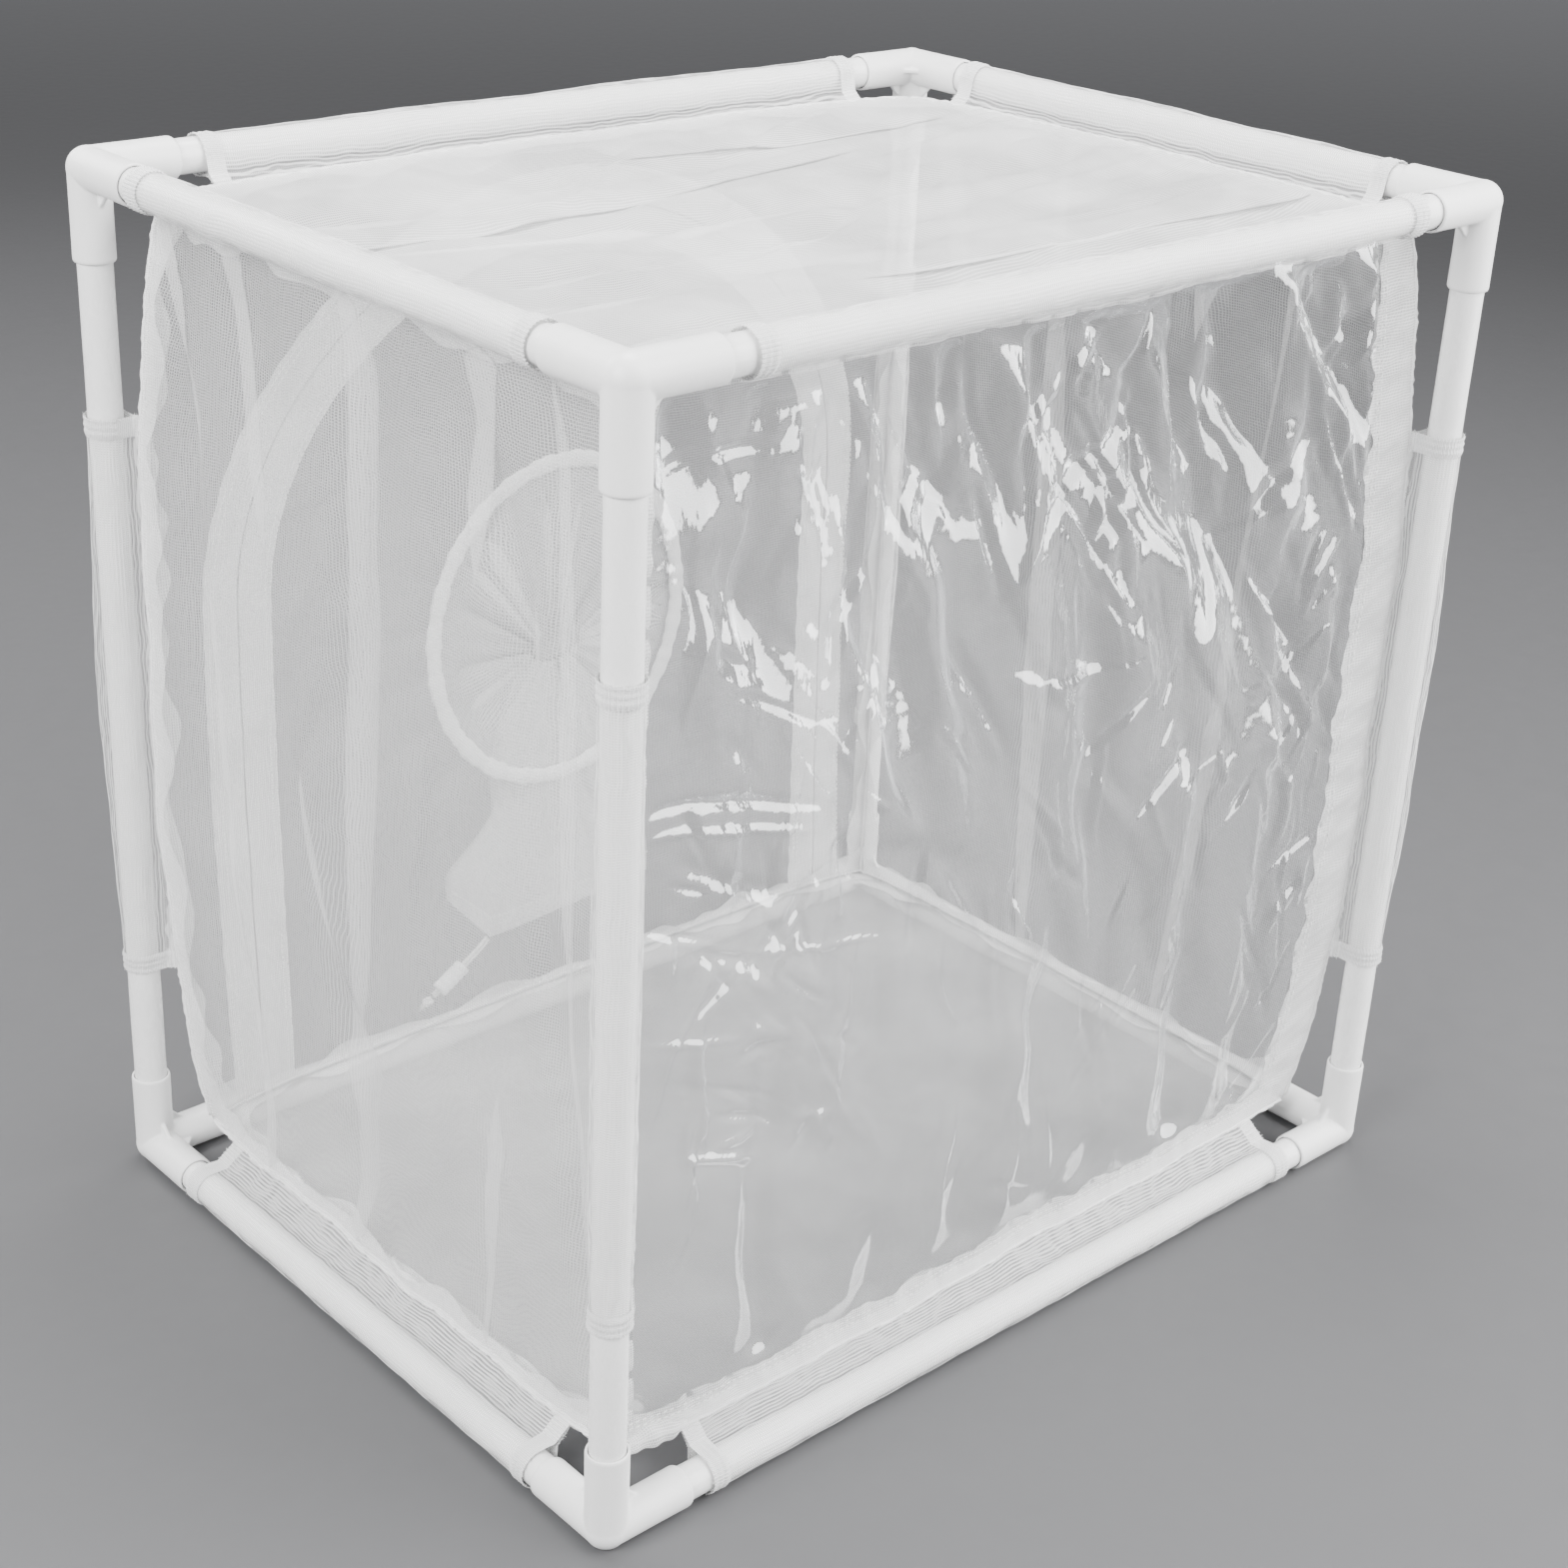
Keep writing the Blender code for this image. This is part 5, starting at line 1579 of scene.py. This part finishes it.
class CAGE_OT_rear_net(Operator):
    """Make the rear net round the zip and the net of the zip door"""

    bl_idname = "cage.rear_net"
    bl_label = "Rear Net and Door Net"

    def execute(self, context):
        rng = np.random.default_rng(8)
        ranges = ((0.04, 0.20), (0.005, 0.016), (0.0005, 0.0028))
        wrinkles = fold_lines(rng, 46, (-0.24, 0.24, 0.04, 0.48), math.pi / 2, 0.5, *ranges)
        ranges = ((0.03, 0.07), (0.004, 0.009), (0.0015, 0.0034))
        wrinkles += fold_lines(rng, 16, (-0.165, -0.100, 0.26, 0.40), 0.9, 0.7, *ranges)

        half = HALF_X - 0.0116
        rise = TENT_HIGH - ARCH_SPRING
        corner = math.atan2(rise, half)
        turns = np.concatenate(
            [
                np.linspace(math.pi, math.pi - corner, 40)[:-1],
                np.linspace(math.pi - corner, corner, 90),
                np.linspace(corner, 0, 40)[1:],
            ]
        )
        to_side = half / np.maximum(np.abs(np.cos(turns)), 1e-9)
        to_top = rise / np.maximum(np.sin(turns), 1e-9)
        reach = np.minimum(to_side, to_top)
        heights = np.linspace(TENT_LOW, ARCH_SPRING, 70)[:-1]
        outer_x = np.concatenate([-half + 0 * heights, reach * np.cos(turns), half + 0 * heights])
        outer_z = np.concatenate([heights, ARCH_SPRING + reach * np.sin(turns), heights[::-1]])
        outer = stretched("rear", (outer_x / half + 1) / 2, (outer_z - TENT_LOW) / (TENT_HIGH - TENT_LOW))
        inner_half, inner_rise = ARCH_HALF_WIDTH + 0.0006, ARCH_RISE + 0.0006
        squeeze = np.arctan2(np.sin(turns) * inner_half, np.cos(turns) * inner_rise)
        leg = inner_half + 0 * heights
        inner_x = np.concatenate([-leg, inner_half * np.cos(squeeze), leg])
        inner_z = np.concatenate([heights, ARCH_SPRING + inner_rise * np.sin(squeeze), heights[::-1]])
        inner = rear_points(inner_x, inner_z)
        w = np.linspace(0, 1, 25)[:, None, None]
        points = (1 - w) * inner + w * outer
        width = np.linalg.norm(outer - inner, axis=1)[None, :]
        near = np.minimum(w[..., 0], 1 - w[..., 0]) * width
        depth = np.abs(creased(points[..., 0], points[..., 2], wrinkles, False)) * fade(near, 0.012)
        points[..., 1] -= depth
        weave = points[..., [0, 2]]
        mesh = surface_mesh("rear_net", points, weave)
        surround = piece("rear_net", mesh, "Fine net", "cage", ["rear_surround"])
        hem = piece("rear_hem", hem_mesh("rear_hem", "rear", HEM_WIDTH, 5.0), "Folded net", "cage", ())

        limit = ARCH_HALF_WIDTH - 0.0006
        crown = ARCH_RISE - 0.0006
        down = PORT_HEIGHT - DOOR_FOOT
        foot_turn = math.atan2(-down, limit)
        turns = np.linspace(-math.pi, math.pi, 380, endpoint=False)
        turns = np.sort(np.concatenate([turns, [foot_turn, -math.pi - foot_turn]]))
        c, s = np.cos(turns), np.sin(turns)
        reach = limit / np.maximum(np.abs(c), 1e-9)
        reach = np.where(s < 0, np.minimum(reach, down / np.maximum(-s, 1e-9)), reach)
        drop = PORT_HEIGHT - ARCH_SPRING
        square = (c / limit) ** 2 + (s / crown) ** 2
        cross = s * drop / crown**2
        rest = (drop / crown) ** 2 - 1
        over = (-cross + np.sqrt(np.maximum(cross**2 - square * rest, 0))) / square
        reach = np.where(over * s + drop > 0, np.minimum(reach, over), reach)
        w = np.linspace(0, 1, 46)[:, None]
        x = c * (PORT_HALF_WIDTH * (1 - w) + reach[None, :] * w)
        z = PORT_HEIGHT + s * (PORT_HALF_HEIGHT * (1 - w) + reach[None, :] * w)
        points = rear_points(x, z)
        near = np.minimum(w, 1 - w) * (reach - 0.085)[None, :]
        depth = np.abs(creased(x, z, wrinkles, False))
        drawn = 0.0022 * np.cos(turns * 9 + 1.2 * np.sin(turns * 2))[None, :] * (1 - w) ** 1.5
        points[..., 1] -= (depth + np.abs(drawn)) * fade(near, 0.012)
        weave = np.stack([x, z], axis=-1)
        closing = np.concatenate([weave, weave[:, :1]], axis=1)
        mesh = surface_mesh("door_net", points, closing, wrap=True)
        door = piece("door_net", mesh, "Fine net", "door", ["door_panel"])
        return {"FINISHED"}


class CAGE_OT_zip(Operator):
    """Make the two zip tapes, their stitches and the zip's coils, and give the slider and its pull tab white
    enamel
    """

    bl_idname = "cage.zip"
    bl_label = "Zip"

    def execute(self, context):
        wide = context.scene.cloth_sizes.tape_width
        for name, sign, foot, body in (("frame", 1, TENT_LOW, "cage"), ("door", -1, DOOR_FOOT, "door")):
            mesh = zip_band("tape", sign * 0.0004, sign * wide, foot, TAPE_LIFT, 0.0005)
            tape = piece(f"tape_{name}", mesh, "Zip tape", body, [f"zip_tape_{name}"])
            x, z = zip_line(sign * wide / 2, foot)
            run = float(arc_lengths(np.stack([x, z], axis=1))[-1])
            meshes = []
            for inset in (0.0016, 0.0044):
                x, z = zip_line(sign * (wide - inset), foot + 0.002)
                path = rear_points(x, z, TAPE_LIFT + 0.0003)
                meshes.append(stitch_mesh(path, (0.0, 1.0, 0.0)))
                meshes.append(stitch_mesh(path - [0, 0.0022, 0], (0.0, -1.0, 0.0)))
            mesh = joined_mesh("tape_stitches", meshes)
            piece(f"tape_stitches_{name}", mesh, "Stitching", body, ())

            x, z = zip_line(sign * 0.0011, COIL_FOOT)
            line = evenly(rear_points(x, z, COIL_LIFT), 0.00036)
            run = arc_lengths(line)
            radius = 0.00078 + 0.00022 * np.cos(run * 2 * math.pi / 0.00145 + (0 if sign > 0 else math.pi))
            mesh = swept_mesh("coil", line, radius, 8, up=(0.0, 1.0, 0.0))
            piece(f"coil_{name}", mesh, "Zip coil", body, [f"zip_coil_{name}"])

        for node in ("zip_slider", "pull_tab"):
            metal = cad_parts[node]
            metal.data.materials.clear()
            metal.data.materials.append(surface_of("White enamel"))
        return {"FINISHED"}


def cone_rows(turns, parts, folds, laps):
    """Rings of the hand sleeve from the port in to the place where it is gathered."""
    rows = []
    for part in parts:
        strength = float(fade(part, 0.30))
        side, up = np.cos(turns + laps * strength), np.sin(turns + laps * strength)
        size = 1 - part**0.85
        wide = GATHER_RADIUS * (1 - size) + (PORT_HALF_WIDTH - 0.002) * size
        tall = GATHER_RADIUS * 0.6 * (1 - size) + (PORT_HALF_HEIGHT - 0.002) * size
        lift = 0.0022 * (1 - part) + GATHER_SPOT[1] * part + folds * 0.0016 * strength
        high = PORT_HEIGHT * (1 - part) + GATHER_SPOT[2] * part
        rows.append(np.stack([GATHER_SPOT[0] * part + wide * side, REAR_Y + lift, high + tall * up], axis=1))
    return rows


def hood_rows(turns, parts, folds, laps):
    """Rings of the hand sleeve from where it is gathered down to its neck."""
    side, up = np.cos(turns + laps), np.sin(turns + laps)
    x, lift, high = GATHER_SPOT
    start = np.stack([x + GATHER_RADIUS * side, lift + 0 * side, high + GATHER_RADIUS * 0.6 * up], axis=1)
    neck_height = NECK_HEIGHT + NECK_GAP + 0 * side
    end = np.stack([NECK_HALF_WIDTH * side, NECK_LIFT + NECK_HALF_DEPTH * up, neck_height], axis=1)
    rows = []
    for part in parts:
        across = math.sin(math.pi / 2 * part)
        ring = start * (1 - part) + end * part
        ring[:, 0] = start[:, 0] * (1 - across) + end[:, 0] * across
        ring[:, 1] += REAR_Y + 0.0030 * math.sin(math.pi * part) * (1.6 + up) / 2
        ring[:, 1] += folds * (0.0010 + 0.0006 * part) * np.sign(up + 0.001)
        rows.append(ring)
    return rows


def tail_rows(turns, parts, folds, laps):
    """Rings of the hand sleeve from its neck down to its slanting cuff."""
    rows = []
    start_height = NECK_HEIGHT - NECK_GAP
    for part in parts:
        spread = turns + laps * (1 - 0.6 * part)
        widen = math.sin(math.pi / 2 * min(1.0, 1.3 * part))
        half_width = NECK_HALF_WIDTH + (CUFF_HALF_WIDTH - NECK_HALF_WIDTH) * widen
        swell = 0.0033 * math.sin(math.pi * part)
        half_depth = NECK_HALF_DEPTH + (CUFF_HALF_DEPTH - NECK_HALF_DEPTH) * part + swell
        lift = NECK_LIFT + (CUFF_LIFT - NECK_LIFT) * part
        side = half_width * np.cos(spread)
        lip = LIP_HEIGHT + 1.15 * np.maximum(0, LIP_X - side) + 0.06 * np.maximum(0, side - LIP_X)
        height = start_height + (lip - start_height) * part
        fold = folds * 0.0012 * (1 - 0.55 * part)
        depth = lift + (half_depth - 0.0006) * np.sin(spread) + fold * np.abs(np.sin(spread))
        rows.append(np.stack([side, REAR_Y + depth, height], axis=1))
    return rows


class CAGE_OT_hand_sleeve(Operator):
    """Make the bound ring of the hand port and the gathered net sleeve behind it"""

    bl_idname = "cage.hand_sleeve"
    bl_label = "Hand Port and Sleeve"

    def execute(self, context):
        turns = np.linspace(0, 2 * math.pi, 320, endpoint=False)
        x, z = PORT_HALF_WIDTH * np.cos(turns), PORT_HEIGHT + PORT_HALF_HEIGHT * np.sin(turns)
        path = rear_points(x, z, 0.0)
        width = 0.0046 + 0.00040 * np.sin(turns * 23) + 0.0003 * np.sin(turns * 57 + 1)
        ring = swept_mesh("ring", path, width, 16, closed=True, flat=0.36, up=(0.0, 1.0, 0.0))
        piece("port_binding", ring, "Binding", "door", ["port_ring"])
        meshes = []
        for lift, facing in ((-0.0013, -1.0), (0.0015, 1.0)):
            for shift in (-0.0018, 0.0018):
                across = (PORT_HALF_WIDTH + shift) * np.cos(turns)
                row = rear_points(across, PORT_HEIGHT + (PORT_HALF_HEIGHT + shift) * np.sin(turns), lift)
                meshes.append(stitch_mesh(row, (0.0, facing, 0.0), 0.0030))
        piece("port_stitches", joined_mesh("port_stitches", meshes), "Stitching", "door", ())

        turns = np.linspace(0, 2 * math.pi, 480, endpoint=False)
        gathers = 15 * turns + 1.8 * np.sin(2 * turns + 1) + 1.3 * np.sin(5 * turns)
        gathers = gathers + 0.7 * np.sin(7 * turns + 2)
        folds = 0.75 * np.cos(gathers) + 0.25 * np.cos(41 * turns + 2 * np.sin(3 * turns))
        laps = -np.sin(gathers) / 15 * (1.7 + 0.9 * np.sin(3 * turns + 2))
        hood = cone_rows(turns, np.linspace(0, 1, 34)[:-1], folds, laps)
        hood += hood_rows(turns, np.linspace(0, 1, 24), folds, laps)
        neck_from, neck_to = hood[-1], tail_rows(turns, [0.0], folds, laps)[0]
        neck = [neck_from * (1 - t) + neck_to * t for t in (0.25, 0.5, 0.75)]
        tail = tail_rows(turns, np.linspace(0, 1, 36), folds, laps)
        rows = np.array([*hood, *neck, *tail])
        depth = np.concatenate([[0.0], np.cumsum(np.linalg.norm(np.diff(rows, axis=0), axis=2).mean(axis=1))])
        girth = math.pi * (PORT_HALF_WIDTH + PORT_HALF_HEIGHT) * np.linspace(0, 1, len(turns) + 1)
        weave = np.stack(np.broadcast_arrays(girth[None, :], depth[:, None]), axis=-1)
        mesh = surface_mesh("hand_sleeve", rows, weave, wrap=True)
        sleeve = piece("hand_sleeve", mesh, "Gathered net", None, ["sock_hood", "sock_tail"])
        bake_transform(sleeve)

        drop = np.linalg.norm(tail[-1][0] - tail[0][0])
        share = context.scene.cloth_sizes.cuff_hem / drop
        parts = np.linspace(1 - share, 1, 7)
        hem_rows = np.array(tail_rows(turns, parts, folds, laps))
        outward = np.sign(np.sin(turns))[None, :, None] * np.array([0.0, 0.00045, 0.0])
        hem_rows = hem_rows + outward * (np.abs(np.sin(turns)) ** 0.5)[None, :, None]
        hem_mesh = surface_mesh("cuff_hem", hem_rows, weave[: len(parts)], wrap=True)
        hem = piece("cuff_hem", hem_mesh, "Folded net", "sleeve", ())
        top_row = tail_rows(turns, [1 - share], folds, 0 * laps)[0]
        meshes = []
        for half, facing in ((slice(10, 230), 1.0), (slice(250, 470), -1.0)):
            row = top_row[half] + [0, facing * 0.0007, -0.0012]
            meshes.append(stitch_mesh(row, (0.0, facing, 0.0), 0.0030))
        piece("cuff_stitches", joined_mesh("cuff_stitches", meshes), "Stitching", "sleeve", ())
        return {"FINISHED"}


class CAGE_PT_tools(Panel):
    """The cage's pieces in the order in which they are made"""

    bl_idname = "CAGE_PT_tools"
    bl_label = "Insect Cage"
    bl_space_type = "VIEW_3D"
    bl_region_type = "UI"
    bl_category = "Insect Cage"

    def draw(self, context):
        scene = context.scene
        for group in (scene.pipe_sizes, scene.cloth_sizes, scene.cage_colours):
            box = self.layout.box()
            for name in group.__annotations__:
                box.prop(group, name)
        column = self.layout.column(align=True)
        for operator in PIECE_OPERATORS:
            column.operator(operator.bl_idname)


GROUPS = (("pipe_sizes", PipeSizes), ("cloth_sizes", ClothSizes), ("cage_colours", CageColours))
PIECE_OPERATORS = (
    CAGE_OT_stage,
    CAGE_OT_drawcord,
    CAGE_OT_corner_fittings,
    CAGE_OT_pipes,
    CAGE_OT_pipe_sleeves,
    CAGE_OT_side_nets,
    CAGE_OT_tent_seams,
    CAGE_OT_window,
    CAGE_OT_rear_net,
    CAGE_OT_zip,
    CAGE_OT_hand_sleeve,
)


def register():
    for name, group in GROUPS:
        bpy.utils.register_class(group)
        setattr(bpy.types.Scene, name, PointerProperty(type=group))
    for operator in PIECE_OPERATORS:
        bpy.utils.register_class(operator)
    bpy.utils.register_class(CAGE_PT_tools)


def unregister():
    bpy.utils.unregister_class(CAGE_PT_tools)
    for operator in reversed(PIECE_OPERATORS):
        bpy.utils.unregister_class(operator)
    for name, group in reversed(GROUPS):
        delattr(bpy.types.Scene, name)
        bpy.utils.unregister_class(group)


def main():
    register()
    bpy.ops.cage.stage()
    bpy.ops.cage.drawcord()
    bpy.ops.cage.corner_fittings()
    bpy.ops.cage.pipes()
    bpy.ops.cage.pipe_sleeves()
    bpy.ops.cage.side_nets()
    bpy.ops.cage.tent_seams()
    bpy.ops.cage.window()
    bpy.ops.cage.rear_net()
    bpy.ops.cage.zip()
    bpy.ops.cage.hand_sleeve()


if __name__ == "__main__":
    main()
